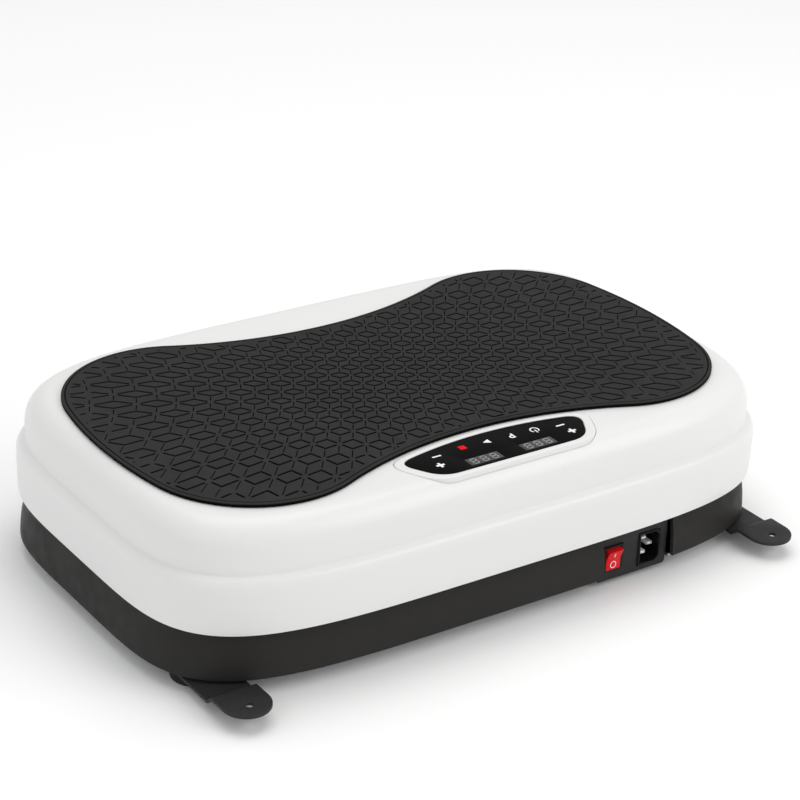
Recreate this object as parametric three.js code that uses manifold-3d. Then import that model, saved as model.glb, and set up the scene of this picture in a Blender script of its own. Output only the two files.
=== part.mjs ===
// Vibration plate: a rocking platform with a rubber mat on a black base that holds its drive.
// Millimetres, +Z up. +X is the long way, -Y the side with the panel and the mains inlet.
// The origin is on the floor, under the middle of the whole outline, band tabs included.
import * as THREE from 'three';
import { mergeVertices } from 'three/addons/utils/BufferGeometryUtils.js';
import Module from 'manifold-3d';

const wasm = await Module();
wasm.setup();

// ---- driving dimensions -------------------------------------------------------------------
const GAP = 0.3; // clearance between pieces that touch
const SHELL_PLAN = { halfLength: 265, halfWidth: 171.5, power: 4.67 }; // outline the shell is inset from
const SKIRT_PLAN = { halfLength: 257, halfWidth: 159, power: 4.8 }; // skirt bottom edge
const CORE_INSET = 60; // outline inset inside which the roof keeps its shape
const PLAN_STEPS = 64; // facets round the outline
const SKIRT_Z = 12; // height of the skirt's bottom edge above the floor
const LIP_Z = 47.5; // height of the shell's bottom edge above the floor
const PLATEAU_Z = 123.5; // flat top of the shell
const SHELL_WALL = 2.6;
const PIVOT_Z = 57; // rocking axis height
const DRIVE_Z = 48; // motor and crank shaft height
const MOTOR_X = -95;
const CRANK_X = 110;
const CRANK_THROW = 2.1; // eccentric's offset
const WRIST_Z = 99; // rod's upper pin height
const MOTOR_PULLEY_R = 14;
const DRIVEN_PULLEY_R = 28;
const BELT_Y = 75;
const BELT_WIDTH = 12;
const TAB_WIDTH = 34;
const TAB_X = { left: -224, right: 224 };
const TAB_STEEL = 2.5;
const TAB_TIP_Y = -186;
const TAB_HOLE_Y = -173;
const TAB_STEP_Y = { from: -147, to: -154.4 }; // where the strap rises
const TAB_HOLE_R = 2.75;
const TAB_LIFT = 5; // joggle height
const FOOT_R = 17;
const FRONT_FOOT_Y = -103;
const REAR_FOOT = { x: 214, y: 104 };
const PANEL_Y = -150.7; // outer face of the power panel
const PANEL_X = { from: 77, to: 140.3 };
const PANEL_Z = { from: 4.5, to: 43.7 };
const SWITCH = { x: 90, z: 22.2, width: 18.5, height: 20.4 };
const ROCKER = { width: 13, half: 8, swing: 22, crest: 1.8 };
const INLET = { x: 124, z: 21.8, width: 20.5, height: 26.4, depth: 17 };
const INLET_MOUTH = { width: 17, height: 23.6 };
const CONSOLE_X = 1.5; // middle of the control panel
const MAT = { waist: 99, halfLength: 237, waistR: 294, lobeR: 81, endR: 350, thick: 2.8 };
const SHELL_WAIST = 7.7; // shell inset where it is widest
const WHOLE_Y = (TAB_TIP_Y + SHELL_PLAN.halfWidth - SHELL_WAIST) / 2; // middle of the whole outline

// ---- finishes -----------------------------------------------------------------------------
/** A plain material. */
function finish(color, roughness, metalness = 0) {
  return new THREE.MeshStandardMaterial({ color, roughness, metalness });
}


const WHITE_SHELL = finish(0xf0f0ee, 0.28);
const BLACK_SKIRT = finish(0x323231, 0.62);
const MAT_RUBBER = finish(0x3a3b3a, 0.8);
const FOOT_RUBBER = finish(0x161616, 0.85);
const GLOSS_BLACK = finish(0x141414, 0.12);
const DISPLAY_GREY = finish(0x55585a, 0.4);
const TAB_STEEL_COAT = finish(0x3a3c3b, 0.55, 0.6);
const SWITCH_RED = finish(0xd81a24, 0.3);
const BLACK_PLASTIC = finish(0x1a1a1a, 0.5);
const NICKEL = finish(0xc9ccd0, 0.25, 1);
const ZINC_STEEL = finish(0xa9adb2, 0.4, 1);
const MOTOR_PAINT = finish(0x50565c, 0.5, 0.5);
const CAST_IRON = finish(0x4a4d50, 0.6, 0.8);
const BOARD_GREEN = finish(0x1f5a35, 0.5);
const NYLON = finish(0xe6e2d6, 0.5);

// ---- solids -------------------------------------------------------------------------------
/** Turns a closed three.js geometry into a solid that can be joined and cut. */
function solid(geometry) {
  const bare = geometry.clone();
  bare.deleteAttribute('normal');
  bare.deleteAttribute('uv');
  const welded = mergeVertices(bare, 1e-4);
  const vertProperties = new Float32Array(welded.attributes.position.array);
  const triVerts = new Uint32Array(welded.index.array);
  return new wasm.Manifold(new wasm.Mesh({ numProp: 3, vertProperties, triVerts }));
}

/** Turns a solid back into a three.js geometry. */
function geometryOf(body) {
  const mesh = body.getMesh();
  const geometry = new THREE.BufferGeometry();
  geometry.setAttribute('position', new THREE.Float32BufferAttribute(mesh.vertProperties, 3));
  geometry.setIndex(new THREE.BufferAttribute(new Uint32Array(mesh.triVerts), 1));
  geometry.computeVertexNormals();
  return geometry;
}

/** Joins overlapping pieces into one. */
function join(...parts) {
  return geometryOf(parts.map(solid).reduce((whole, part) => whole.add(part)));
}

/** Cuts every tool out of a body. */
function cut(body, ...tools) {
  return geometryOf(tools.map(solid).reduce((left, tool) => left.subtract(tool), solid(body)));
}

/** A box between two corners. */
function box([x0, y0, z0], [x1, y1, z1]) {
  const geometry = new THREE.BoxGeometry(x1 - x0, y1 - y0, z1 - z0);
  return geometry.translate((x0 + x1) / 2, (y0 + y1) / 2, (z0 + z1) / 2);
}

/** An upright round bar from z0 to z1. */
function post(x, y, radius, z0, z1, sides = 16) {
  const geometry = new THREE.CylinderGeometry(radius, radius, z1 - z0, sides).rotateX(Math.PI / 2);
  return geometry.translate(x, y, (z0 + z1) / 2);
}

/** A round bar along Y. */
function barAlongY(x, z, radius, y0, y1, sides = 16) {
  return new THREE.CylinderGeometry(radius, radius, y1 - y0, sides).translate(x, (y0 + y1) / 2, z);
}

/** A turned piece about an axis along Z; profile is [radius, height] pairs. */
function turned(profile, sides = 16) {
  const points = profile.map(([radius, height]) => new THREE.Vector2(radius, height));
  return new THREE.LatheGeometry(points, sides).rotateX(Math.PI / 2);
}

/** A turned piece about an axis along Y; profile is [radius, distance along Y] pairs. */
function turnedAlongY(profile, sides = 16) {
  const points = profile.map(([radius, along]) => new THREE.Vector2(radius, along));
  return new THREE.LatheGeometry(points, sides);
}

/** A flat outline in XY raised from z0 to z1. */
function raised(shape, z0, z1, curveSegments = 12) {
  const depth = z1 - z0;
  return new THREE.ExtrudeGeometry(shape, { depth, bevelEnabled: false, curveSegments }).translate(0, 0, z0);
}

/** An outline drawn in X and Z, made thick along Y from y0 to y1. */
function thickAlongY(shape, y0, y1, curveSegments = 12) {
  const geometry = new THREE.ExtrudeGeometry(shape, { depth: y1 - y0, bevelEnabled: false, curveSegments });
  return geometry.rotateX(Math.PI / 2).translate(0, y1, 0);
}

const polygon = (points) => new THREE.Shape(points.map(([x, y]) => new THREE.Vector2(x, y)));

/** A round hole to go in a shape. */
function hole(x, y, radius) {
  return new THREE.Path().absarc(x, y, radius, 0, 2 * Math.PI, true);
}

// ---- plan outlines: superellipses -----------------------------------------------------------
/** Point of a plan outline at parameter angle, moved in by inset. */
function planPoint(plan, angle, inset) {
  const along = (value, half) => Math.sign(value) * half * Math.abs(value) ** (2 / plan.power);
  return [along(Math.cos(angle), plan.halfLength - inset), along(Math.sin(angle), plan.halfWidth - inset)];
}

/** A closed profile of [inset, z] pairs carried round an outline; null inset is the centre line. */
function carriedRound(plan, profile) {
  const radius = (inset) => (inset === null ? 0 : plan.halfWidth - inset);
  const geometry = turned(profile.map(([inset, z]) => [radius(inset), z]), PLAN_STEPS);
  const position = geometry.attributes.position;
  const coreR = plan.halfWidth - CORE_INSET;
  for (let i = 0; i < position.count; i++) {
    const r = Math.hypot(position.getX(i), position.getY(i));
    const angle = Math.atan2(position.getY(i), position.getX(i));
    const [x, y] = planPoint(plan, angle, plan.halfWidth - Math.max(r, coreR));
    const shrink = Math.min(1, r / coreR);
    position.setXY(i, x * shrink, y * shrink);
  }
  return geometry;
}

/** A plan outline as a flat shape. */
function planShape(plan, inset) {
  const angles = Array.from({ length: PLAN_STEPS }, (_, i) => (2 * Math.PI * i) / PLAN_STEPS);
  return polygon(angles.map((angle) => planPoint(plan, angle, inset)));
}

// ---- assembly -------------------------------------------------------------------------------
const group = new THREE.Group();
const machine = new THREE.Group();
machine.position.y = -WHOLE_Y;
group.add(machine);

function add(name, geometry, material) {
  const mesh = new THREE.Mesh(geometry, material);
  mesh.name = name;
  machine.add(mesh);
}

// ---- shell and mat --------------------------------------------------------------------------
/** Outer profile of the top shell as [inset, height], from its lip up to the flat top. */
const SHELL_OUTSIDE = [
  [8.5, LIP_Z], [7.8, LIP_Z + 7.5], [SHELL_WAIST, LIP_Z + 31.5], [8.7, LIP_Z + 37.5],
  [12.4, PLATEAU_Z - 33.1], [13.3, PLATEAU_Z - 22.5], [14.8, PLATEAU_Z - 14], [18.5, PLATEAU_Z - 6.9],
  [24, PLATEAU_Z - 2.2], [30, PLATEAU_Z - 0.4], [36, PLATEAU_Z],
];
/** Inner profile from the middle of the roof back down to the lip. */
const SHELL_INSIDE = [
  [36, PLATEAU_Z - SHELL_WALL], [26, PLATEAU_Z - 4.3], [19.5, PLATEAU_Z - 10.5], [16, PLATEAU_Z - 20.5],
  [15.4, PLATEAU_Z - 33.5], [10.4, LIP_Z + 33.5], [10.7, LIP_Z],
];

/** Control panel outline: straight front, slanting sides, back edge following the mat's waist. */
function consoleShape({ front, frontHalf, backHalf, backGap, cornerR }) {
  const arcR = MAT.waistR - backGap;
  const arcY = (x) => -(MAT.waist + MAT.waistR) + Math.sqrt(arcR ** 2 - x ** 2);
  const backY = arcY(backHalf);
  const side = Math.hypot(backHalf - frontHalf, backY - front);
  const ease = cornerR / side;
  const sideX = (t) => frontHalf + (backHalf - frontHalf) * t;
  const sideY = (t) => front + (backY - front) * t;
  const arcSteps = 8;
  const arcHalf = backHalf - cornerR;
  const shape = new THREE.Shape();
  shape.moveTo(CONSOLE_X - frontHalf + cornerR, front);
  shape.lineTo(CONSOLE_X + frontHalf - cornerR, front);
  shape.quadraticCurveTo(CONSOLE_X + frontHalf, front, CONSOLE_X + sideX(ease), sideY(ease));
  shape.lineTo(CONSOLE_X + sideX(1 - ease), sideY(1 - ease));
  shape.quadraticCurveTo(CONSOLE_X + backHalf, backY, CONSOLE_X + arcHalf, arcY(arcHalf));
  for (let i = 1; i <= arcSteps; i++) {
    const x = arcHalf - (2 * arcHalf * i) / arcSteps;
    shape.lineTo(CONSOLE_X + x, arcY(x));
  }
  shape.quadraticCurveTo(CONSOLE_X - backHalf, backY, CONSOLE_X - sideX(1 - ease), sideY(1 - ease));
  shape.lineTo(CONSOLE_X - sideX(ease), sideY(ease));
  shape.quadraticCurveTo(CONSOLE_X - frontHalf, front, CONSOLE_X - frontHalf + cornerR, front);
  return shape;
}

const BEZEL = { front: -150, frontHalf: 68, backHalf: 86, backGap: 1.6, cornerR: 15 };
const LENS = { front: -146, frontHalf: 60.5, backHalf: 78, backGap: 6.4, cornerR: 13 };
const BEZEL_Z = { from: PLATEAU_Z - 10.5, to: PLATEAU_Z + 0.6 };
const LENS_THICK = 2;
const WINDOWS = [{ name: 'display_speed', x: -19.5 }, { name: 'display_time', x: 26 }];
const WINDOW = { y: -137.2, width: 27, depth: 9.6 };

/** The same outline moved in by an amount on every side. */
function insetConsole(outline, amount) {
  const { front, frontHalf, backHalf, backGap, cornerR } = outline;
  return consoleShape({
    front: front + amount,
    frontHalf: frontHalf - amount,
    backHalf: backHalf - amount,
    backGap: backGap + amount,
    cornerR: Math.max(cornerR - amount, 3),
  });
}

/** The top shell, open underneath, with an opening for the control panel. */
function topShell() {
  const profile = [[null, PLATEAU_Z - SHELL_WALL], ...SHELL_INSIDE, ...SHELL_OUTSIDE, [null, PLATEAU_Z]];
  const roof = carriedRound(SHELL_PLAN, profile);
  return cut(roof, raised(insetConsole(BEZEL, -GAP), BEZEL_Z.from - 10, BEZEL_Z.to + 10));
}

/** Mat outline: waist arcs, lobe arcs and end arcs, each tangent to the next. */
function matShape() {
  const { waist, halfLength, waistR, lobeR, endR } = MAT;
  const waistCentre = new THREE.Vector2(0, waist + waistR);
  const endCentre = new THREE.Vector2(halfLength - endR, 0);
  const toWaist = waistR + lobeR;
  const toEnd = endR - lobeR;
  const apart = waistCentre.distanceTo(endCentre);
  const along = (toWaist ** 2 - toEnd ** 2 + apart ** 2) / (2 * apart);
  const aside = Math.sqrt(toWaist ** 2 - along ** 2);
  const way = endCentre.clone().sub(waistCentre).normalize();
  const lobeX = waistCentre.x + way.x * along - way.y * aside;
  const lobeY = waistCentre.y + way.y * along + way.x * aside;
  const endTurn = Math.atan2(lobeY, lobeX - endCentre.x);
  const lobeTurn = Math.atan2(waistCentre.y - lobeY, -lobeX);
  const waistTurn = Math.PI - lobeTurn;
  const shape = new THREE.Shape();
  shape.absarc(endCentre.x, 0, endR, -endTurn, endTurn, false);
  shape.absarc(lobeX, lobeY, lobeR, endTurn, lobeTurn, false);
  shape.absarc(0, waistCentre.y, waistR, -waistTurn, waistTurn - Math.PI, true);
  shape.absarc(-lobeX, lobeY, lobeR, Math.PI - lobeTurn, Math.PI - endTurn, false);
  shape.absarc(-endCentre.x, 0, endR, Math.PI - endTurn, Math.PI + endTurn, false);
  shape.absarc(-lobeX, -lobeY, lobeR, Math.PI + endTurn, Math.PI + lobeTurn, false);
  shape.absarc(0, -waistCentre.y, waistR, Math.PI - waistTurn, waistTurn, true);
  shape.absarc(lobeX, -lobeY, lobeR, -lobeTurn, -endTurn, false);
  return shape;
}

function addShellAndMat() {
  add('top_shell', topShell(), WHITE_SHELL);
  add('foot_mat', raised(matShape(), PLATEAU_Z + GAP, PLATEAU_Z + GAP + MAT.thick, 6), MAT_RUBBER);
}

// ---- control panel --------------------------------------------------------------------------
function addConsole() {
  const recessZ = BEZEL_Z.to - LENS_THICK - GAP * 2;
  const bezel = raised(consoleShape(BEZEL), BEZEL_Z.from, BEZEL_Z.to, 5);
  const recess = raised(insetConsole(LENS, -GAP), recessZ, BEZEL_Z.to + 1, 5);
  const through = raised(insetConsole(LENS, 3.3), BEZEL_Z.from - 1, recessZ + 1, 5);
  add('panel_bezel', cut(bezel, recess, through), WHITE_SHELL);

  const lensZ = recessZ + GAP;
  const windowAt = (x, grow, z0, z1) => box(
    [x - WINDOW.width / 2 - grow, WINDOW.y - WINDOW.depth / 2 - grow, z0],
    [x + WINDOW.width / 2 + grow, WINDOW.y + WINDOW.depth / 2 + grow, z1],
  );
  const windows = WINDOWS.map(({ x }) => windowAt(x, GAP, lensZ - 1, lensZ + LENS_THICK + 1));
  add('panel_lens', cut(raised(consoleShape(LENS), lensZ, lensZ + LENS_THICK, 5), ...windows), GLOSS_BLACK);

  const boardZ = BEZEL_Z.from + 2;
  add('display_board', raised(insetConsole(LENS, 6), boardZ, boardZ + 1.6, 5), BOARD_GREEN);
  for (const { name, x } of WINDOWS) {
    add(name, windowAt(x, 0, boardZ + 1.6 + GAP, lensZ + LENS_THICK - 0.2), DISPLAY_GREY);
  }
}

// ---- base: pan, skirt, power panel ------------------------------------------------------------
const PAN_Z = { from: SKIRT_Z - 1.9, to: SKIRT_Z + 0.6 };
const FLOOR_Z = PAN_Z.to + GAP; // where the inner pieces stand
const SKIRT_TOP = 62;
const STRAP_TOP = PAN_Z.from - GAP;
const SCREW_R = 2.5;
const footPlaces = [
  { name: 'front_left', x: TAB_X.left, y: FRONT_FOOT_Y, top: STRAP_TOP - TAB_STEEL - GAP },
  { name: 'front_right', x: TAB_X.right, y: FRONT_FOOT_Y, top: STRAP_TOP - TAB_STEEL - GAP },
  { name: 'rear_left', x: -REAR_FOOT.x, y: REAR_FOOT.y, top: STRAP_TOP },
  { name: 'rear_right', x: REAR_FOOT.x, y: REAR_FOOT.y, top: STRAP_TOP },
];

function addPan() {
  const shape = planShape(SKIRT_PLAN, 3.4);
  shape.holes = footPlaces.map(({ x, y }) => hole(x, y, SCREW_R + GAP));
  const bayFrom = [PANEL_X.from - GAP, -SKIRT_PLAN.halfWidth, 0];
  const bay = box(bayFrom, [PANEL_X.to + GAP, PANEL_Y + 21, SKIRT_Z + 5]);
  add('base_pan', cut(raised(shape, PAN_Z.from, PAN_Z.to, 5), bay), ZINC_STEEL);
}

/** Black skirt: widens a little downwards, rises inside the shell, and has a gap for the power panel. */
function addSkirt() {
  const wall = 2.4;
  const profile = [
    [3, SKIRT_Z], [0.6, SKIRT_Z], [0, SKIRT_Z + 0.8], [0.3, SKIRT_Z + 8], [1.4, SKIRT_Z + 19],
    [3.2, SKIRT_Z + 28], [3.9, SKIRT_Z + 34], [3.9, SKIRT_TOP], [3.9 + wall, SKIRT_TOP], [3.8 + wall, SKIRT_Z + 27],
    [2 + wall, SKIRT_Z + 17], [3, SKIRT_Z],
  ];
  const notchFrom = [PANEL_X.from - GAP, -SKIRT_PLAN.halfWidth - 5, 0];
  const notch = box(notchFrom, [PANEL_X.to + 1.8, -SKIRT_PLAN.halfWidth + 16, LIP_Z - 3.5]);
  add('base_skirt', cut(carriedRound(SKIRT_PLAN, profile), notch), BLACK_SKIRT);
}

function addPowerPanel() {
  const { from, to } = PANEL_X;
  const cornerR = 3;
  const shape = new THREE.Shape();
  shape.moveTo(from, PANEL_Z.to);
  shape.lineTo(from, PANEL_Z.from + cornerR);
  shape.quadraticCurveTo(from, PANEL_Z.from, from + cornerR, PANEL_Z.from);
  shape.lineTo(to - cornerR, PANEL_Z.from);
  shape.quadraticCurveTo(to, PANEL_Z.from, to, PANEL_Z.from + cornerR);
  shape.lineTo(to, PANEL_Z.to);
  const opening = ({ x, z }, width, height) => polygon([
    [x - width / 2, z - height / 2], [x - width / 2, z + height / 2],
    [x + width / 2, z + height / 2], [x + width / 2, z - height / 2],
  ]);
  shape.holes = [opening(SWITCH, 16.6, 18.6), opening(INLET, 18.8, 25)];
  const plate = thickAlongY(shape, PANEL_Y, PANEL_Y + 2.5, 4);
  const returnEdge = box([from, PANEL_Y + 2, PANEL_Z.from], [to, PANEL_Y + 8, PANEL_Z.from + 2]);
  add('power_panel', join(plate, returnEdge), BLACK_PLASTIC);
}

/** Mains inlet recess outline: a rectangle with its two earth-side corners cut off. */
function inletShape(width, height, chamfer) {
  const { x, z } = INLET;
  const [left, right, low, high] = [x - width / 2, x + width / 2, z - height / 2, z + height / 2];
  return polygon([[left, low], [right - chamfer, low], [right, low + chamfer], [right, high - chamfer],
    [right - chamfer, high], [left, high]]);
}

function addInlet() {
  const proud = 1.2;
  const front = PANEL_Y - proud;
  const flange = thickAlongY(inletShape(INLET.width, INLET.height, 4), front, PANEL_Y - GAP);
  const body = thickAlongY(inletShape(18.2, 24.4, 3.6), PANEL_Y - GAP - 0.1, front + INLET.depth + 2);
  const mouthShape = inletShape(INLET_MOUTH.width, INLET_MOUTH.height, 3.4);
  const mouth = thickAlongY(mouthShape, front - 1, front + INLET.depth);
  add('inlet_body', cut(join(flange, body), mouth), BLACK_PLASTIC);
  const pins = { line: [-2, 6], neutral: [-2, -6], earth: [4, 0] };
  const pinRoot = front + INLET.depth - GAP;
  for (const [name, [dx, dz]] of Object.entries(pins)) {
    const [x, z] = [INLET.x + dx, INLET.z + dz];
    add(`inlet_pin_${name}`, box([x - 2.4, pinRoot - 11.5, z - 1.2], [x + 2.4, pinRoot, z + 1.2]), NICKEL);
  }
}

/** Switch housing in the panel and the rocker that tips in it. */
function addSwitch() {
  const { x, z, width, height } = SWITCH;
  const around = (half, tall, y0, y1) => box([x - half, y0, z - tall], [x + half, y1, z + tall]);
  const bezel = around(width / 2, height / 2, PANEL_Y - 1.5, PANEL_Y - GAP);
  const body = around(8, 9, PANEL_Y - GAP - 0.1, PANEL_Y + 16);
  const pocket = around(ROCKER.width / 2 + GAP, 8.8, PANEL_Y - 3, PANEL_Y + 7.5);
  add('switch_housing', cut(join(bezel, body), pocket), BLACK_PLASTIC);

  const tilt = THREE.MathUtils.degToRad(ROCKER.swing / 2);
  const edge = ROCKER.crest + ROCKER.half * Math.tan(tilt);
  const side = polygon([
    [0, ROCKER.crest], [ROCKER.half, edge], [ROCKER.half, -2], [5, -4.5], [-5, -4.5],
    [-ROCKER.half, -2], [-ROCKER.half, edge],
  ]);
  const rocker = new THREE.ExtrudeGeometry(side, { depth: ROCKER.width, bevelEnabled: false });
  rocker.translate(0, 0, -ROCKER.width / 2).rotateY(-Math.PI / 2).rotateZ(Math.PI).rotateX(tilt);
  add('switch_rocker', rocker.translate(x, PANEL_Y, z), SWITCH_RED);
}

// ---- feet and band tabs -----------------------------------------------------------------------
function addFeet() {
  for (const { name, x, y, top } of footPlaces) {
    const rubber = turned([
      [SCREW_R + GAP, 4.2], [6.6, 4.2], [6.6, 0], [FOOT_R - 1.5, 0], [FOOT_R, 1.5], [FOOT_R - 1, top],
      [SCREW_R + GAP, top], [SCREW_R + GAP, 4.2],
    ]).translate(x, y, 0);
    add(`foot_${name}`, rubber, FOOT_RUBBER);
    const screwTop = PAN_Z.to + 3;
    const screw = turned([
      [0, 1.2], [5, 1.2], [5.4, 3.9], [SCREW_R, 3.9], [SCREW_R, screwTop], [0, screwTop],
    ], 12);
    add(`foot_screw_${name}`, screw.translate(x, y, 0), ZINC_STEEL);
  }
}

/** Steel strap under the base whose outer end is stepped up and holed for a band's clip. */
function addTabs() {
  const half = TAB_WIDTH / 2;
  const { from: stepFrom, to: stepTo } = TAB_STEP_Y;
  const low = STRAP_TOP - TAB_STEEL;
  const root = FRONT_FOOT_Y + 31;
  for (const [side, x] of Object.entries(TAB_X)) {
    const bend = polygon([
      [root, low], [root, STRAP_TOP], [stepFrom, STRAP_TOP], [stepTo, STRAP_TOP + TAB_LIFT],
      [TAB_TIP_Y, STRAP_TOP + TAB_LIFT], [TAB_TIP_Y, low + TAB_LIFT],
      [stepTo - 0.8, low + TAB_LIFT], [stepFrom - 0.8, low],
    ]);
    const strip = new THREE.ExtrudeGeometry(bend, { depth: TAB_WIDTH, bevelEnabled: false });
    strip.rotateX(Math.PI / 2).rotateZ(Math.PI / 2).translate(x - half, 0, 0);
    const plan = new THREE.Shape();
    plan.moveTo(x - half, 0);
    plan.lineTo(x - half, TAB_TIP_Y + half);
    plan.absarc(x, TAB_TIP_Y + half, half, Math.PI, 2 * Math.PI, false);
    plan.lineTo(x + half, 0);
    plan.holes = [hole(x, TAB_HOLE_Y, TAB_HOLE_R), hole(x, FRONT_FOOT_Y, SCREW_R + GAP)];
    const outline = raised(plan, 0, 40, 10);
    add(`band_tab_${side}`, geometryOf(solid(strip).intersect(solid(outline))), TAB_STEEL_COAT);
  }
}

// ---- pivot ------------------------------------------------------------------------------------
const BRACKET = { y: 97, thick: 4, halfWidth: 25, top: 70 };
const BUSH = { inner: 5 + GAP, outer: 9.4 };

function addPivot() {
  for (const [side, way] of Object.entries({ front: -1, rear: 1 })) {
    const [near, far] = [BRACKET.y * way, (BRACKET.y + BRACKET.thick) * way];
    const [y0, y1] = [Math.min(near, far), Math.max(near, far)];
    const upright = polygon([[-BRACKET.halfWidth, FLOOR_Z], [BRACKET.halfWidth, FLOOR_Z], [13, BRACKET.top],
      [-13, BRACKET.top]]);
    upright.holes = [hole(0, PIVOT_Z, BUSH.outer + GAP)];
    const flangeY = [near - 18 * way, near + 0.5 * way].sort((a, b) => a - b);
    const { halfWidth } = BRACKET;
    const flange = box([-halfWidth, flangeY[0], FLOOR_Z], [halfWidth, flangeY[1], FLOOR_Z + 3]);
    add(`pivot_bracket_${side}`, join(thickAlongY(upright, y0, y1, 8), flange), ZINC_STEEL);
    const bush = turnedAlongY([
      [BUSH.inner, y0], [BUSH.outer, y0], [BUSH.outer, y1], [BUSH.inner, y1], [BUSH.inner, y0],
    ]);
    add(`pivot_bush_${side}`, bush.translate(0, 0, PIVOT_Z), NYLON);
    const pin = [[0, 84], [5, 84], [5, 103], [8, 103], [8, 106.5], [0, 106.5]];
    const profile = way > 0 ? pin : pin.map(([r, y]) => [r, -y]).reverse();
    add(`pivot_pin_${side}`, turnedAlongY(profile).translate(0, 0, PIVOT_Z), ZINC_STEEL);
  }
}

// ---- platform frame ---------------------------------------------------------------------------
const FRAME = { x: 198, y: 92, top: PLATEAU_Z - SHELL_WALL - 0.5, thick: 2.5, ribY: 60, ribDepth: 18 };

function addPlatformFrame() {
  const under = FRAME.top - FRAME.thick;
  const plate = box([-FRAME.x, -FRAME.y, under], [FRAME.x, FRAME.y, FRAME.top]);
  const pieces = [plate];
  for (const way of [-1, 1]) {
    const [inside, outside] = [86.5 * way, 91.5 * way].sort((a, b) => a - b);
    const lug = polygon([[-20, under + 1], [-9, PIVOT_Z - 9], [9, PIVOT_Z - 9], [20, under + 1]]);
    lug.holes = [hole(0, PIVOT_Z, 5 + GAP)];
    pieces.push(thickAlongY(lug, inside, outside, 8));
    const ribY = FRAME.ribY * way;
    const ribLow = under - FRAME.ribDepth;
    pieces.push(box([-FRAME.x + 3, ribY - 1.25, ribLow], [FRAME.x - 3, ribY + 1.25, under + 1]));
    pieces.push(box([-FRAME.x + 3, ribY - 10, ribLow], [FRAME.x - 3, ribY + 10, ribLow + 2.5]));
  }
  add('platform_frame', join(...pieces), ZINC_STEEL);

  const top = under - GAP;
  const yoke = join(
    box([CRANK_X - 16, -14, top - 3], [CRANK_X + 16, 14, top]),
    ...[-1, 1].map((way) => {
      const cheek = polygon([[CRANK_X - 12, top - 1], [CRANK_X - 9, WRIST_Z - 9], [CRANK_X + 9, WRIST_Z - 9],
        [CRANK_X + 12, top - 1]]);
      cheek.holes = [hole(CRANK_X, WRIST_Z, 5 + GAP)];
      const [y0, y1] = [7 * way, 10 * way].sort((a, b) => a - b);
      return thickAlongY(cheek, y0, y1, 8);
    }),
  );
  add('rod_yoke', yoke, ZINC_STEEL);
  add('wrist_pin', barAlongY(CRANK_X, WRIST_Z, 5, -12.5, 12.5), ZINC_STEEL);
}

// ---- drive ------------------------------------------------------------------------------------
/** Flanged belt pulley about its own axis, centred on the belt. */
function pulley(radius, boreR) {
  const half = BELT_WIDTH / 2 + 1;
  const rim = radius + 4;
  return turnedAlongY([
    [boreR, -half - 2], [rim, -half - 2], [rim, -half], [radius, -half], [radius, half], [rim, half],
    [rim, half + 2], [boreR, half + 2], [boreR, -half - 2],
  ], 20);
}

/** Outline round two circles on a line along X, as a belt lies on its pulleys. */
function beltLoop(smallR, largeR) {
  const span = CRANK_X - MOTOR_X;
  const lean = Math.asin((largeR - smallR) / span);
  const loop = new THREE.Shape();
  loop.absarc(MOTOR_X, DRIVE_Z, smallR, Math.PI / 2 + lean, 1.5 * Math.PI - lean, false);
  loop.absarc(CRANK_X, DRIVE_Z, largeR, -Math.PI / 2 - lean, Math.PI / 2 + lean, false);
  return loop;
}

function addMotor() {
  const shaftR = 5;
  const can = turnedAlongY([
    [shaftR + GAP, -46], [24, -46], [30, -43], [32, -40], [32, 40], [30, 43], [14, 46], [14, 52],
    [shaftR + GAP, 52], [shaftR + GAP, -46],
  ], 24);
  add('motor_can', can.translate(MOTOR_X, 0, DRIVE_Z), MOTOR_PAINT);
  add('motor_shaft', barAlongY(MOTOR_X, DRIVE_Z, shaftR, -50, 86), ZINC_STEEL);
  add('motor_pulley', pulley(MOTOR_PULLEY_R, shaftR + GAP).translate(MOTOR_X, BELT_Y, DRIVE_Z), CAST_IRON);
  const saddle = box([MOTOR_X - 36, -34, FLOOR_Z], [MOTOR_X + 36, 34, DRIVE_Z - 14]);
  add('motor_cradle', cut(saddle, barAlongY(MOTOR_X, DRIVE_Z, 32 + GAP, -60, 60, 24)), CAST_IRON);
}

function addCrank() {
  const shaftR = 8;
  const boreR = shaftR + GAP;
  add('crank_shaft', barAlongY(CRANK_X, DRIVE_Z, shaftR, -56, 88), ZINC_STEEL);
  add('driven_pulley', pulley(DRIVEN_PULLEY_R, boreR).translate(CRANK_X, BELT_Y, DRIVE_Z), CAST_IRON);
  const eccentric = new THREE.Shape().absarc(CRANK_X + CRANK_THROW, DRIVE_Z, 15, 0, 2 * Math.PI, false);
  eccentric.holes = [hole(CRANK_X, DRIVE_Z, boreR)];
  add('crank_eccentric', thickAlongY(eccentric, -6, 6, 16), CAST_IRON);
  for (const [side, y] of [['front', -38], ['rear', 38]]) {
    const block = new THREE.Shape();
    block.moveTo(CRANK_X - 30, FLOOR_Z);
    block.lineTo(CRANK_X + 30, FLOOR_Z);
    block.lineTo(CRANK_X + 30, FLOOR_Z + 8);
    block.lineTo(CRANK_X + 18, FLOOR_Z + 12);
    block.absarc(CRANK_X, DRIVE_Z, 18, 0, Math.PI, false);
    block.lineTo(CRANK_X - 18, FLOOR_Z + 12);
    block.lineTo(CRANK_X - 30, FLOOR_Z + 8);
    block.holes = [hole(CRANK_X, DRIVE_Z, boreR)];
    add(`bearing_block_${side}`, thickAlongY(block, y - 7, y + 7, 8), CAST_IRON);
  }
}

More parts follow.
